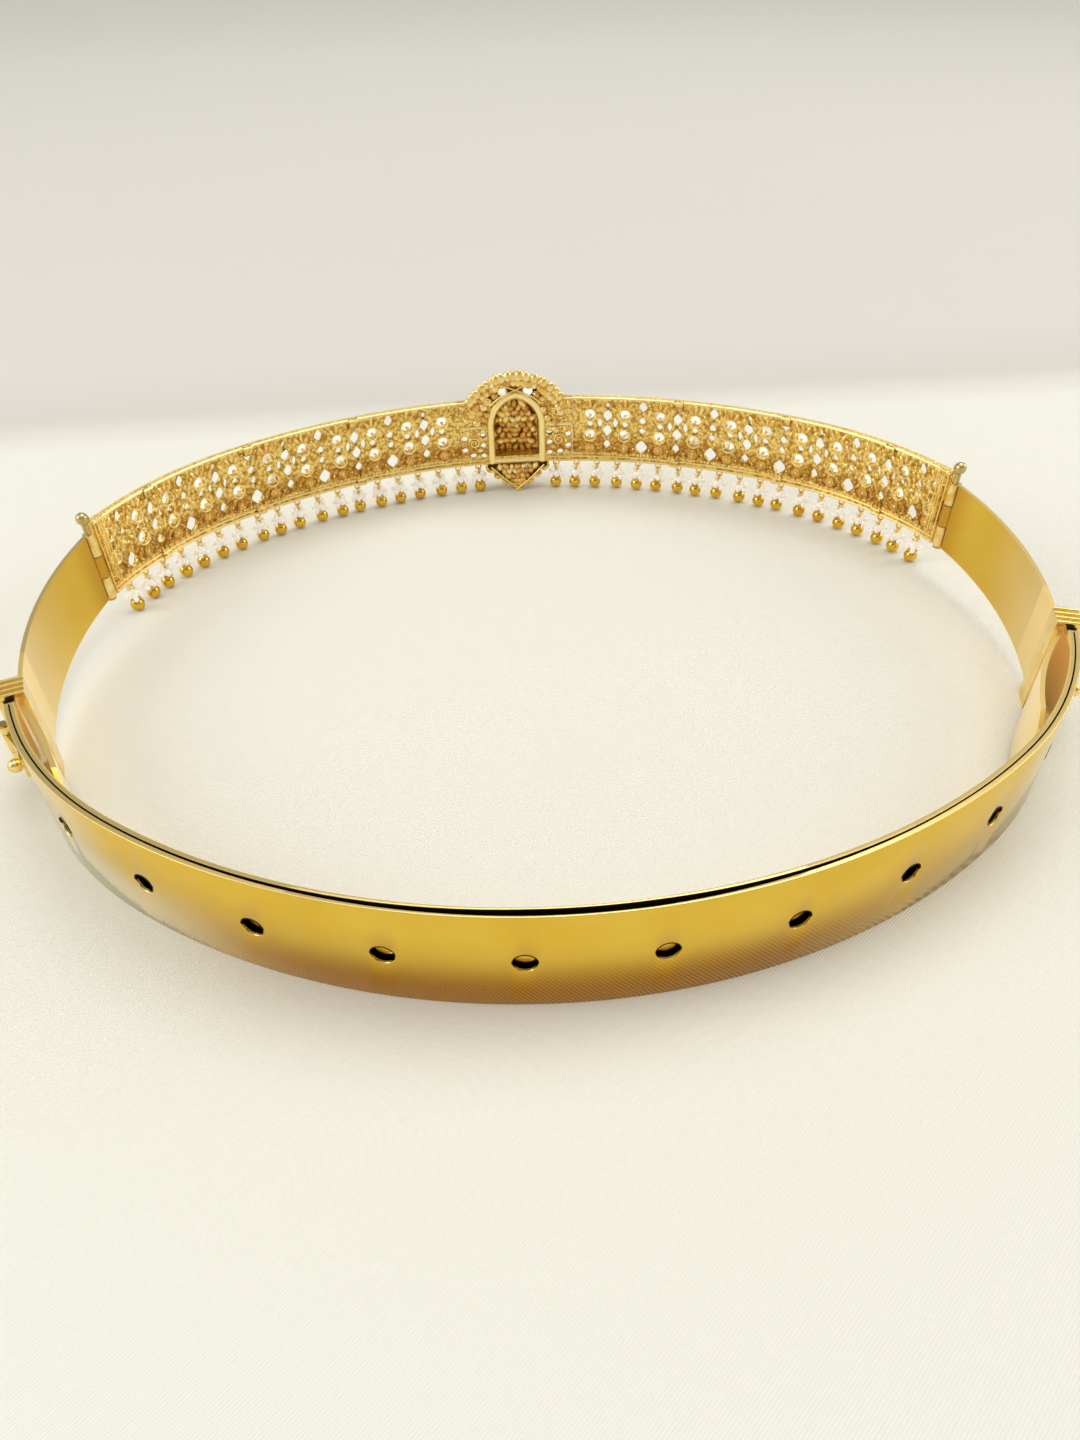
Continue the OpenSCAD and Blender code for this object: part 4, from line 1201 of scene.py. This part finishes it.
def end_ribs(u1):
    """Upright wires on both faces at the panel's end."""
    return [paint(rod(RIB_R * MM, PANEL_H * MM, "Z",
                      Vector((half_l_mm - u1 + u, y, PANEL_Z + PANEL_H / 2)) * MM), WIRE_GOLD)
            for u in END_RIBS for y in (FRONT_Y, BACK_Y)]


print("the hinge stands", HINGE_U, "mm from the middle of the front")

# %% [markdown]
# The panel's left half mirrors its right half, as both come from the same moulds. So a
# section is modelled for the wearer's right and mirrored for the left. A mirrored mesh is
# inside out, and the helper that copies it turns its faces back.

# %% The eight sections
EYELET_UNDER = 0.85
DROP_PITCH = SECTION_L / 5
DROP_SHIFT = 2
drop_places = [CENTRE_HALF + (j + 0.5) * DROP_PITCH - DROP_SHIFT for j in range(-1, 18)]


def section(k):
    """The k-th section from the middle, on the wearer's right."""
    u0 = CENTRE_HALF + (k - 1) * SECTION_L + FIT / 2
    is_end = k == 4
    u1 = u0 - FIT / 2 + (END_L if is_end else SECTION_L - FIT / 2)
    pieces = [pierced_plate(u0, u1, is_end)] + rails(u0, u1)
    inside = [column_u(i) for i in range(COLUMNS) if u0 < column_u(i) < u1]
    pieces += copies(templates["collet"], [at(u, 0, z) for u in inside for z in (UPPER_Z, LOWER_Z)])
    pieces += copies(templates["boss"], [at(u, 0, BOSS_Z) for u in inside])
    pieces += copies(templates["eyelet"], [at(u, MIDDLE_Y, PANEL_Z - EYELET_UNDER)
                                           for u in drop_places if u0 < u < u1])
    pieces += ornament(u0, u1, BACK_Y, 1) + ornament(u0, u1, FRONT_Y, -1)
    pieces += hinge_knuckles() + end_ribs(u1) if is_end else tie_plates(u1)
    return bent(joined("panel_right_%d_cast" % k, pieces))


def mirrored(piece, name):
    """The same piece for the wearer's left."""
    new = copies(piece, [Matrix.Scale(-1, 4, (1, 0, 0))])[0]
    new.name = name
    return new


for k in range(1, 5):
    right_one = section(k)
    left_one = mirrored(right_one, "panel_left_%d_cast" % k)
    finish(right_one, "belt", ["panel_right_%d" % k])
    finish(left_one, "belt", ["panel_left_%d" % k])

# %% [markdown]
# Along the panel's foot hang the drops: a gold ball, a pearl on its stem, seed pearls in
# wire round it, and an eye in the panel's eyelet. One drop is modelled from primitives and
# copied. They are small and light, and no two hang quite alike, so each copy leans a
# little about its eye.

# %% One drop
BALL_D = 3.9
CAP_R, CAP_WIRE = 1.1, 0.38
PEARL_D = 2.7
PEARL_Z = 5.1
EYE_Z = 7.6
EYE_R = 0.85
WIRE_R = 0.25
WRAP_R, WRAP_WIRE, WRAPS_Z = 0.36, 0.15, (6.35, 6.6, 6.85)
SEED_R = 0.75
LOW_SEEDS, LOW_SEEDS_R, LOW_SEEDS_Z = 6, 2.0, 4.5
SEEDS_STEP = 0.7
TOP_SEEDS, TOP_SEEDS_R, TOP_SEEDS_Z = 3, 1.3, 6.8


def upright(operator, z, **settings):
    """A primitive on the drop's axis, z mm up."""
    return added(operator, location=(0, 0, z * MM), **settings)


def drop_metal():
    """The ball with its cap, the stem with its wraps, and the eye."""
    ball = upright(bpy.ops.mesh.primitive_uv_sphere_add, BALL_D / 2, radius=BALL_D / 2 * MM, segments=20,
                   ring_count=12)
    cap = upright(bpy.ops.mesh.primitive_torus_add, BALL_D - 0.1, major_radius=CAP_R * MM,
                  minor_radius=CAP_WIRE * MM, major_segments=14, minor_segments=6)
    stem = rod(1.1 * WIRE_R * MM, (EYE_Z - EYE_R - BALL_D + 0.4) * MM, "Z",
               (0, 0, (BALL_D + EYE_Z - EYE_R) / 2 * MM))
    eye = wire_ring(EYE_R, WIRE_R, 18, 6)
    eye.data.transform(Matrix.Rotation(math.pi / 2, 4, "Z"))
    eye.data.transform(Matrix.Translation((0, 0, EYE_Z * MM)))
    wraps = [upright(bpy.ops.mesh.primitive_torus_add, z, major_radius=WRAP_R * MM,
                     minor_radius=WRAP_WIRE * MM, major_segments=12, minor_segments=5) for z in WRAPS_Z]
    for one in [stem, eye] + wraps:
        paint(one, WIRE_GOLD)
    # the cap takes the shaded gold: painted shade under the pearls
    return joined("drop_metal", [paint(ball, BALL_GOLD), paint(cap, SHADED_GOLD), stem, eye] + wraps)


def seed_pearl(angle, reach, z):
    """A seed pearl beside the stem."""
    seed = granule(SEED_R, 10, 7)
    place = Vector((reach * math.cos(angle), reach * math.sin(angle), z))
    seed.data.transform(Matrix.Translation(place * MM))
    return seed


def drop_pearls():
    """The pearl on the stem and the seed pearls round it."""
    main = upright(bpy.ops.mesh.primitive_uv_sphere_add, PEARL_Z, radius=PEARL_D / 2 * MM,
                   segments=18, ring_count=11)
    seeds = [seed_pearl(2 * math.pi * (i + 0.5) / LOW_SEEDS, LOW_SEEDS_R, LOW_SEEDS_Z + SEEDS_STEP * (i % 2))
             for i in range(LOW_SEEDS)]
    seeds += [seed_pearl(2 * math.pi * (i + 0.25) / TOP_SEEDS, TOP_SEEDS_R, TOP_SEEDS_Z)
              for i in range(TOP_SEEDS)]
    return paint(joined("drop_pearls", [main] + seeds), PEARL)


metal, beads = drop_metal(), drop_pearls()
print("one drop:", len(metal.data.polygons), "faces of metal and", len(beads.data.polygons), "of pearls")

# %% The rows of drops
LEAN = math.radians(7)
SPIN = 0.4
draw = random.Random(7)
leaning = []
for u in drop_places:
    hang = Matrix.Translation((0, 0, EYE_Z * MM))
    swing = (Matrix.Rotation(draw.uniform(-LEAN, LEAN), 4, "Y")
             @ Matrix.Rotation(draw.uniform(-LEAN, LEAN) / 2, 4, "X"))
    spin = Matrix.Rotation(draw.uniform(-SPIN, SPIN), 4, "Z")
    leaning.append(at(u, MIDDLE_Y, 0) @ hang @ swing @ spin @ hang.inverted())
for template, node, kind in ((metal, "drops", "polished_gold"), (beads, "pearls", "pearl")):
    right_one = bent(joined(node + "_right_strung", copies(template, leaning)))
    left_one = mirrored(right_one, node + "_left_strung")
    finish(right_one, "belt", [node + "_right"], 60)
    finish(left_one, "belt", [node + "_left"], 60)
print("drops on each side:", len(leaning))

pick(metal, beads, *templates.values())
bpy.ops.object.delete()

# %% [markdown]
# The medallion's back is a raised pointed arch round the window, with crowded cast buds in
# the halo round it, two wires that cross over its point, and a pointed foot. A wire could
# be a bent cylinder, but a poly curve with a round bevel follows any line of points. It is
# made a mesh and pressed a little flat, as if soldered down.

# %% Wires of the medallion
MED_BACK = 93.65
MED_H = 38
PLATE_FRONT = 95.65
PLATE_SAG = 283
HALO_R = 12.9
HALO_Z = 20.9
ARCH_W = 18.7
ARCH_BAND = 2.2
ARCH_Z0 = 9.9
ARCH_SPRING = 22.4
ARCH_POINT = 0.62
ARCH_STEPS = 14
COIL_STEPS, COIL_TURN, COIL_FADE = 26, 0.42, 32


def back_of(x):
    """How far forward the medallion's back lies, x from its middle."""
    return min(MED_BACK, MED_BACK + 0.4 - x * x / PLATE_SAG)


def plate_front(x):
    """How far forward the medallion's flat front lies, x from its middle."""
    return PLATE_FRONT - x * x / PLATE_SAG


def wire(name, points, radius, material, flat=0.7, sides=2):
    """A wire through (x, y, z) points in mm."""
    clear()
    bpy.ops.curve.primitive_bezier_curve_add()
    new = bpy.context.object
    new.data.splines.clear()
    drawn = new.data.splines.new("POLY")
    drawn.points.add(len(points) - 1)
    for point, place in zip(drawn.points, points):
        point.co = (place[0] * MM, place[1] * MM, place[2] * MM, 1)
    new.data.bevel_depth = radius * MM
    new.data.bevel_resolution = sides
    new.data.use_fill_caps = True
    bpy.ops.object.convert(target="MESH")
    new = bpy.context.object
    middle = sum(p[1] for p in points) / len(points) * MM
    new.data.transform(Matrix.Translation((0, middle, 0)) @ Matrix.Diagonal((1, flat, 1, 1))
                       @ Matrix.Translation((0, -middle, 0)))
    new.name = name
    return paint(new, material)


def arch_points(w, y):
    """The arch's outline for a window w wide, from its left foot over the point to the right."""
    r = ARCH_POINT * w
    last = math.acos((r - w / 2) / r)
    half = [(-w / 2, y, ARCH_Z0), (-w / 2, y, (ARCH_Z0 + ARCH_SPRING) / 2)]
    for i in range(ARCH_STEPS + 1):
        angle = last * i / ARCH_STEPS
        half.append((r - w / 2 - r * math.cos(angle), y, ARCH_SPRING + r * math.sin(angle)))
    return half + [(-x, y, z) for x, y, z in reversed(half[:-1])]


def in_arch(x, z, w):
    """Whether a place lies in a window w wide."""
    r = ARCH_POINT * w
    if z < ARCH_SPRING:
        return abs(x) < w / 2
    return math.hypot(abs(x) + r - w / 2, z - ARCH_SPRING) < r


def coil(x, z, radius, way):
    """A small spiral in the flank."""
    places = []
    for i in range(COIL_STEPS):
        angle = i * COIL_TURN
        reach = radius * (1 - i / COIL_FADE)
        places.append((x + way * reach * math.cos(angle), back_of(x) - 0.35, z + reach * math.sin(angle)))
    return wire("coil", places, 0.3, WIRE_GOLD)


CROSSING = [(-6.4, 0.3, 36.2), (-3, 0.7, 35.2), (0.5, 0.9, 34.0), (5, 0.9, 32.0), (8.2, 0.6, 29.4)]
FOOT_EDGE = [(8.8, 0.3, 8.6), (4.6, 0.8, 4.6), (-0.8, 1.0, 0.4)]
RAIL_X = (9.5, 12.5, 15.5, 18.4)
print("the arch is drawn through", len(arch_points(ARCH_W, 0)), "points")

# %% [markdown]
# The casting round the arch is a crowd of rounded buds, no two alike. Sculpting them would
# be slow and heavy. One bud is modelled and copied with its own size, lean and tone, drawn
# by chance from a fixed start, so that each run gives the same medallion. The tone is cast
# gold or the shaded gold, which is painted shade among the buds.

# %% Buds
bud = granule(1, 9, 7)
select_where(bud, lambda place, _: place.z > 0.6 * MM, "VERT")
bpy.ops.transform.resize(value=(0.78, 0.78, 1.02), center_override=(0, 0, 0))
clear()


def lump(x, y, z, size, tilt, material, thick=0.55, long=1.35):
    """A cast bud, drawn out along its tilt."""
    new = copies(bud, [Matrix.Translation(Vector((x, y, z)) * MM) @ Matrix.Rotation(tilt, 4, "Y")
                       @ Matrix.Diagonal((size, size * thick, size * long, 1))])[0]
    return paint(new, material)


def either(dark_share):
    """Shaded gold, painted shade, for that share of the buds, cast gold for the others."""
    return SHADED_GOLD if draw.random() < dark_share else CAST_GOLD


print("a bud has", len(bud.data.polygons), "faces")

# %% Back of the medallion: arch, wires and flanks
SILL = [(-8.2, MED_BACK - 0.1, 10.7), (8.2, MED_BACK - 0.1, 10.7)]
FLANK_BUDS = [(12.2, 12.4), (12.4, 20.4), (15.7, 20.6), (16.0, 16.7), (11.9, 14.6), (16.4, 12.8),
              (15.6, 24.6), (17.4, 26.6), (16.9, 29.0), (12.2, 29.4), (14.7, 29.2), (10.8, 24.6),
              (17.6, 24.2)]
SHOULDER_Z = 22.3
draw = random.Random(21)
# the arch rim, the sill and the shoulders take the highlit gold: a satin gloss and painted highlight
back = [wire("arch_rim", arch_points(ARCH_W - ARCH_BAND, MED_BACK - 0.1), ARCH_BAND / 2, HIGHLIT_GOLD, 0.62, 3),
        wire("sill", SILL, 0.85, HIGHLIT_GOLD, 0.7, 3)]
for way in (-1, 1):
    for name, points, radius in (("crossing", CROSSING, 0.26), ("foot_edge", FOOT_EDGE, 0.32)):
        places = [(way * x, MED_BACK - proud, z) for x, proud, z in points]
        back.append(wire(name, places, radius, WIRE_GOLD, 1))
    back.append(wire("shoulder", [(way * 9.6, back_of(10) - 0.2, SHOULDER_Z),
                                  (way * 17.6, back_of(17.6) - 0.2, SHOULDER_Z)], 0.5, HIGHLIT_GOLD, 0.8))
    back.append(coil(way * 13.7, 17.2, 1.9, way))
    back.append(coil(way * 13.0, 26.4, 1.5, -way))
    for z, r in RAIL_WIRES:
        back.append(wire("rail", [(way * x, back_of(x) - 0.05, z) for x in RAIL_X], r, WIRE_GOLD, 1))
    for x, z in FLANK_BUDS:
        back.append(lump(way * x, back_of(x) - 0.1, z, draw.uniform(0.6, 0.95), draw.uniform(-2, 2),
                         either(0.45)))
print("arch, wires and flanks:", len(back), "pieces")

# %% [markdown]
# The halo's buds stand in four rows, larger toward the rim, where they point outwards like
# petals, and brighter there because fewer of them take the shaded gold of painted shade.
# Places in the window, at the two clear stones and on the flanks stay free. Smaller buds
# fill the foot, with fewer in each row down to its point.

# %% Back of the medallion: halo, foot and stones
HALO_ROWS = [(10.8, 1.1, 0.7), (12.9, 1.3, 0.5), (15.2, 1.45, 0.3), (17.3, 1.6, 0.1)]
FOOT_ROWS = (8.2, 6.5, 4.8, 3.1, 1.7)
FOOT_HALF = 8.3
POINT_STONE_X, POINT_STONE_Z = 4.1, 33.5
STONE_FREE_Z, STONE_FREE = 33.6, 1.7
SHOULDER_FREE_X, SHOULDER_FREE_Z = 14.6, 31


def is_free(x, z):
    """Whether a bud of the halo may stand here."""
    from_stone = abs(abs(x) - POINT_STONE_X) * 0.9 + abs(z - STONE_FREE_Z)
    return not (in_arch(x, z, ARCH_W + 0.8) or from_stone < STONE_FREE
                or (z < SHOULDER_FREE_Z and abs(x) > SHOULDER_FREE_X))


for reach, size, dark_share in HALO_ROWS:
    count = int(math.pi * reach / ((1.2 if reach > 15 else 1.6) * size))
    for i in range(count + 1):
        angle = math.pi * (i + 0.35 * draw.uniform(-1, 1)) / count
        x, z = reach * math.cos(angle), HALO_Z + reach * math.sin(angle)
        if is_free(x, z):
            lean = 0.15 if reach > 17 else 0.6
            back.append(lump(x, back_of(x) + 0.35 - 0.5 * draw.random(), z, size * draw.uniform(0.85, 1.15),
                             math.pi / 2 - angle + draw.uniform(-lean, lean), either(dark_share), 0.7, 1.05))
for row, z in enumerate(FOOT_ROWS):
    half_width = FOOT_HALF * z / ARCH_Z0
    count = 7 - row
    for i in range(count):
        x = half_width * (2 * (i + 0.5) / count - 1)
        back.append(lump(x, MED_BACK + 0.15, z, draw.uniform(0.75, 1.05), draw.uniform(-1.1, 1.1) + x * 0.1,
                         either(0.45)))
for way in (-1, 1):
    back.append(lump(way * POINT_STONE_X, MED_BACK + 0.1, POINT_STONE_Z, 1.45, way * 0.5, CLEAR_STONE,
                     0.5, 1.0))
print("medallion's back:", len(back), "pieces with halo, foot and stones")
finish(joined("medallion_back_ornament", back), "belt", (), 50)

# %% [markdown]
# In the window one sees the hollow back of the relief: larger rounded lumps, dark between,
# with a few pale ones. Many lumps take the shaded gold as painted shade, more of them deep in
# the window, and the pale ones take the highlit gold as painted highlight. They stand in rows
# that are shaken a little, on the inside of the dome, whose depth is worked out for each.

# %% Lumps in the window
DOME_R = 30
DOME_FRONT = 102.85
DOME_SAG = 57
LUMP_ROWS, LUMP_COLUMNS = 10, 7
LUMP_Z0, LUMP_UP, LUMP_ALONG = 12.9, 1.9, 2.15
PALE_LUMPS = [(-3.1, 27.2), (2.9, 27.6), (-4.9, 22.8), (4.4, 24.6), (0.4, 20.2)]
inner_w = ARCH_W - 2 * ARCH_BAND


def window_tone(light_share):
    """Cast gold for that share of the lumps, shaded gold, painted shade, for the others."""
    return CAST_GOLD if draw.random() < light_share else SHADED_GOLD


def inside_dome(x, z, under):
    """How far forward the dome's inner face lies, that much under its front."""
    return DOME_FRONT - under - (x * x + (z - MED_H / 2) ** 2) / DOME_SAG


window = []
for row in range(LUMP_ROWS):
    for column in range(LUMP_COLUMNS):
        x = (column - 3 + 0.5 * (row % 2)) * LUMP_ALONG + draw.uniform(-0.4, 0.4)
        z = LUMP_Z0 + LUMP_UP * row + draw.uniform(-0.35, 0.35)
        if not in_arch(x, z, inner_w - 2.2):
            continue
        light_share = 0.25 if in_arch(x, z, inner_w - 5) else 0.55
        window.append(lump(x, inside_dome(x, z, 3.0) - 0.9 * draw.random(), z, draw.uniform(1.0, 1.4),
                           draw.uniform(-1.5, 1.5), window_tone(light_share), 0.75))
for x, z in PALE_LUMPS:
    window.append(lump(x, inside_dome(x, z, 4.4), z, 0.85, 0, HIGHLIT_GOLD, 0.8, 1.2))
print("lumps in the window:", len(window))
finish(joined("medallion_window_leaves", window), "belt", (), 50)

# %% [markdown]
# The front isn't seen in the photograph, so it is finished plainly in the same manner:
# beads round the arch and the stones, and leaves on the halo, the foot and the flanks. The
# front is a dome, and two helpers set buds and rows of beads down on it wherever they lie.

# %% Setting down on the dome
DOME_HALF = 15


def dome_at(x, z, under=0.0):
    """How far forward the dome lies, or the plate's front where the dome has ended."""
    reach = DOME_R ** 2 - x * x - (z - MED_H / 2) ** 2
    on_dome = DOME_FRONT - DOME_R + math.sqrt(max(reach, 0)) - under
    return on_dome if abs(x) < DOME_HALF else plate_front(x)


def on_front(x, z, size, tilt, material, under=0.0, thick=0.6, long=1.35):
    """A bud on the dome, or that much under it."""
    return lump(x, dome_at(x, z, under), z, size, tilt, material, thick, long)


def bead(x, z, size, under=0.0):
    """A round bead on the dome."""
    return on_front(x, z, size, 0, WIRE_GOLD, under, 1, 1)


def bead_row(points, step, size, under=0.0):
    """Beads at even steps along a line of (x, z) points."""
    made, carried = [], 0.0
    for (x0, z0), (x1, z1) in zip(points, points[1:]):
        length = math.hypot(x1 - x0, z1 - z0)
        while carried < length:
            share = carried / length
            made.append(bead(x0 + (x1 - x0) * share, z0 + (z1 - z0) * share, size, under))
            carried += step
        carried -= length
    return made


def halo_at(angle, reach=HALO_R):
    """The place in the halo at an angle from the wearer's right."""
    return reach * math.cos(angle), HALO_Z + reach * math.sin(angle)


print("the dome stands", round(dome_at(0, MED_H / 2) - PLATE_FRONT, 2), "mm proud of the plate")

# %% Front of the medallion
STONES, RING_BEADS, RING_R = 5, 14, 2.5
HALO_LEAVES, HALO_LEAVES_R = 17, 14.9
FOOT_LEAVES = [(7.6, 8.2, 1.0, 1.2), (5.8, 6.2, 1.0, 0.9), (3.9, 4.2, 0.95, 0.7), (2.2, 6.9, 1.0, 0.5),
               (4.4, 8.6, 0.9, 0.9), (1.5, 3.4, 0.8, 0.4)]
FLANK_LEAVES = [(15.4, 26.5, 0.9, 0.5), (17.2, 24.6, 0.8, -0.4), (17.1, 28.6, 0.8, 0.9),
                (15.6, 22.2, 0.7, 0.2), (15.4, 16.8, 0.9, 0.8), (17.3, 16.6, 0.7, -0.6),
                (16.9, 12.0, 0.8, 0.3)]
front = bead_row([(x, z) for x, _, z in arch_points(ARCH_W - ARCH_BAND, 0)], 0.95, 0.42)
for i in range(STONES):
    x, z = halo_at(math.pi * i / (STONES - 1))
    for b in range(RING_BEADS):
        round_by = 2 * math.pi * b / RING_BEADS
        front.append(bead(x + RING_R * math.cos(round_by), z + RING_R * math.sin(round_by), 0.36))
for i in range(HALO_LEAVES):
    angle = math.pi * (i + 0.5) / HALO_LEAVES
    front.append(on_front(*halo_at(angle, HALO_LEAVES_R), 1.0, math.pi / 2 - angle, CAST_GOLD))
for i in (0.5, 3.5):
    for off in (-0.09, 0.09):
        angle = math.pi * i / 4 + off * math.pi
        front.append(on_front(*halo_at(angle), 0.9, math.pi / 2 - angle + 6 * off, CAST_GOLD))
for way in (-1, 1):
    for x, z, size, tilt in FOOT_LEAVES:
        front.append(on_front(way * x, z, size, way * tilt, CAST_GOLD))
    for x, z, size, tilt in FLANK_LEAVES:
        front.append(lump(way * x, plate_front(x), z, size, way * tilt, CAST_GOLD))
front += bead_row([(0, 1.6), (0, 9.0)], 1.05, 0.5)
print("beads and leaves on the front:", len(front))
finish(joined("medallion_front_ornament", front), "belt", (), 50)

# %% [markdown]
# A lotus fills the window, as a plain design that many such belts share. Its petals are
# buds in three fans, each fan smaller and further forward than the one behind it, with
# leaves below and above and beads inside the arch.

# %% The lotus
IN_WINDOW = 1.2
LOTUS_Z = 18.6
PETAL_FANS = [(4.3, 9, 1.25, CAST_GOLD), (2.9, 7, 1.15, WIRE_GOLD), (1.5, 5, 1.0, CAST_GOLD)]
FAN_HALF = 80
LOTUS_LEAVES = [(2.3, 14.6, 1.0, 1.0), (4.3, 15.6, 0.9, 0.6), (4.9, 13.2, 0.9, 1.3), (2.4, 26.6, 0.8, 0.5),
                (4.6, 24.4, 0.8, 0.8)]
lotus = []
for reach, count, size, kind in PETAL_FANS:
    for i in range(count):
        angle = math.radians(-FAN_HALF + 2 * FAN_HALF * i / (count - 1))
        lotus.append(on_front(reach * math.sin(angle), LOTUS_Z + 1.125 * reach * math.cos(angle), size, angle,
                              kind, IN_WINDOW + 0.15 * reach - 0.9, 0.6, 1.7))
for way in (-1, 1):
    for x, z, size, tilt in LOTUS_LEAVES:
        lotus.append(on_front(way * x, z, size, way * tilt, CAST_GOLD, IN_WINDOW, 0.6, 1.6))
lotus.append(on_front(0, 28.0, 0.9, 0, CAST_GOLD, IN_WINDOW))
lotus += bead_row([(0, 12.8), (0, 16.8)], 0.7, 0.45, IN_WINDOW)
lotus += bead_row([(x, z) for x, _, z in arch_points(inner_w - 1.3, 0) if z > 12.5], 0.8, 0.32, IN_WINDOW)
print("petals, leaves and beads of the lotus:", len(lotus))
finish(joined("medallion_lotus", lotus), "belt", (), 50)

pick(bud)
bpy.ops.object.delete()

# %% [markdown]
# Straps, keepers, levers, pins, the medallion and the stones already have their right form
# in the construction model. Modelling them again would only risk a misfit at the pins and
# the pegs, so they stay and get their finish by a material in their slots: rolled sheet
# for the side straps, satin for the pins, a soft cast shine for the medallion's dome.

# %% Finishes of the construction model's own pieces
FINISH = {
    "side_strap_left": SHEET_GOLD, "side_strap_right": SHEET_GOLD,
    "keeper_left": WIRE_GOLD, "keeper_right": WIRE_GOLD,
    "lever_left": WIRE_GOLD, "lever_right": WIRE_GOLD,
    "lever_pin_left": PIN_GOLD, "lever_pin_right": PIN_GOLD,
    "hinge_pin_left": PIN_GOLD, "hinge_pin_right": PIN_GOLD,
    # the dome takes the casting's ground with its painted highlight and shade; the relief in the window takes
    # the shaded gold, painted shade
    "medallion": DOME_GOLD, "medallion_relief": SHADED_GOLD,
    "medallion_stones": CLEAR_STONE, "panel_stones_left": CLEAR_STONE, "panel_stones_right": CLEAR_STONE,
    "drops_left": WIRE_GOLD, "drops_right": WIRE_GOLD, "pearls_left": PEARL, "pearls_right": PEARL,
}
for name, node in nodes.items():
    material = FINISH.get(name, CAST_GOLD)
    if not node.material_slots:
        node.data.materials.append(material)
    for place in node.material_slots:
        place.material = material
print("pieces with a finish of their own:", len(FINISH), "of", len(nodes))

# %% [markdown]
# The path has done its work and is deleted.

# %% The end
pick(path)
bpy.ops.object.delete()
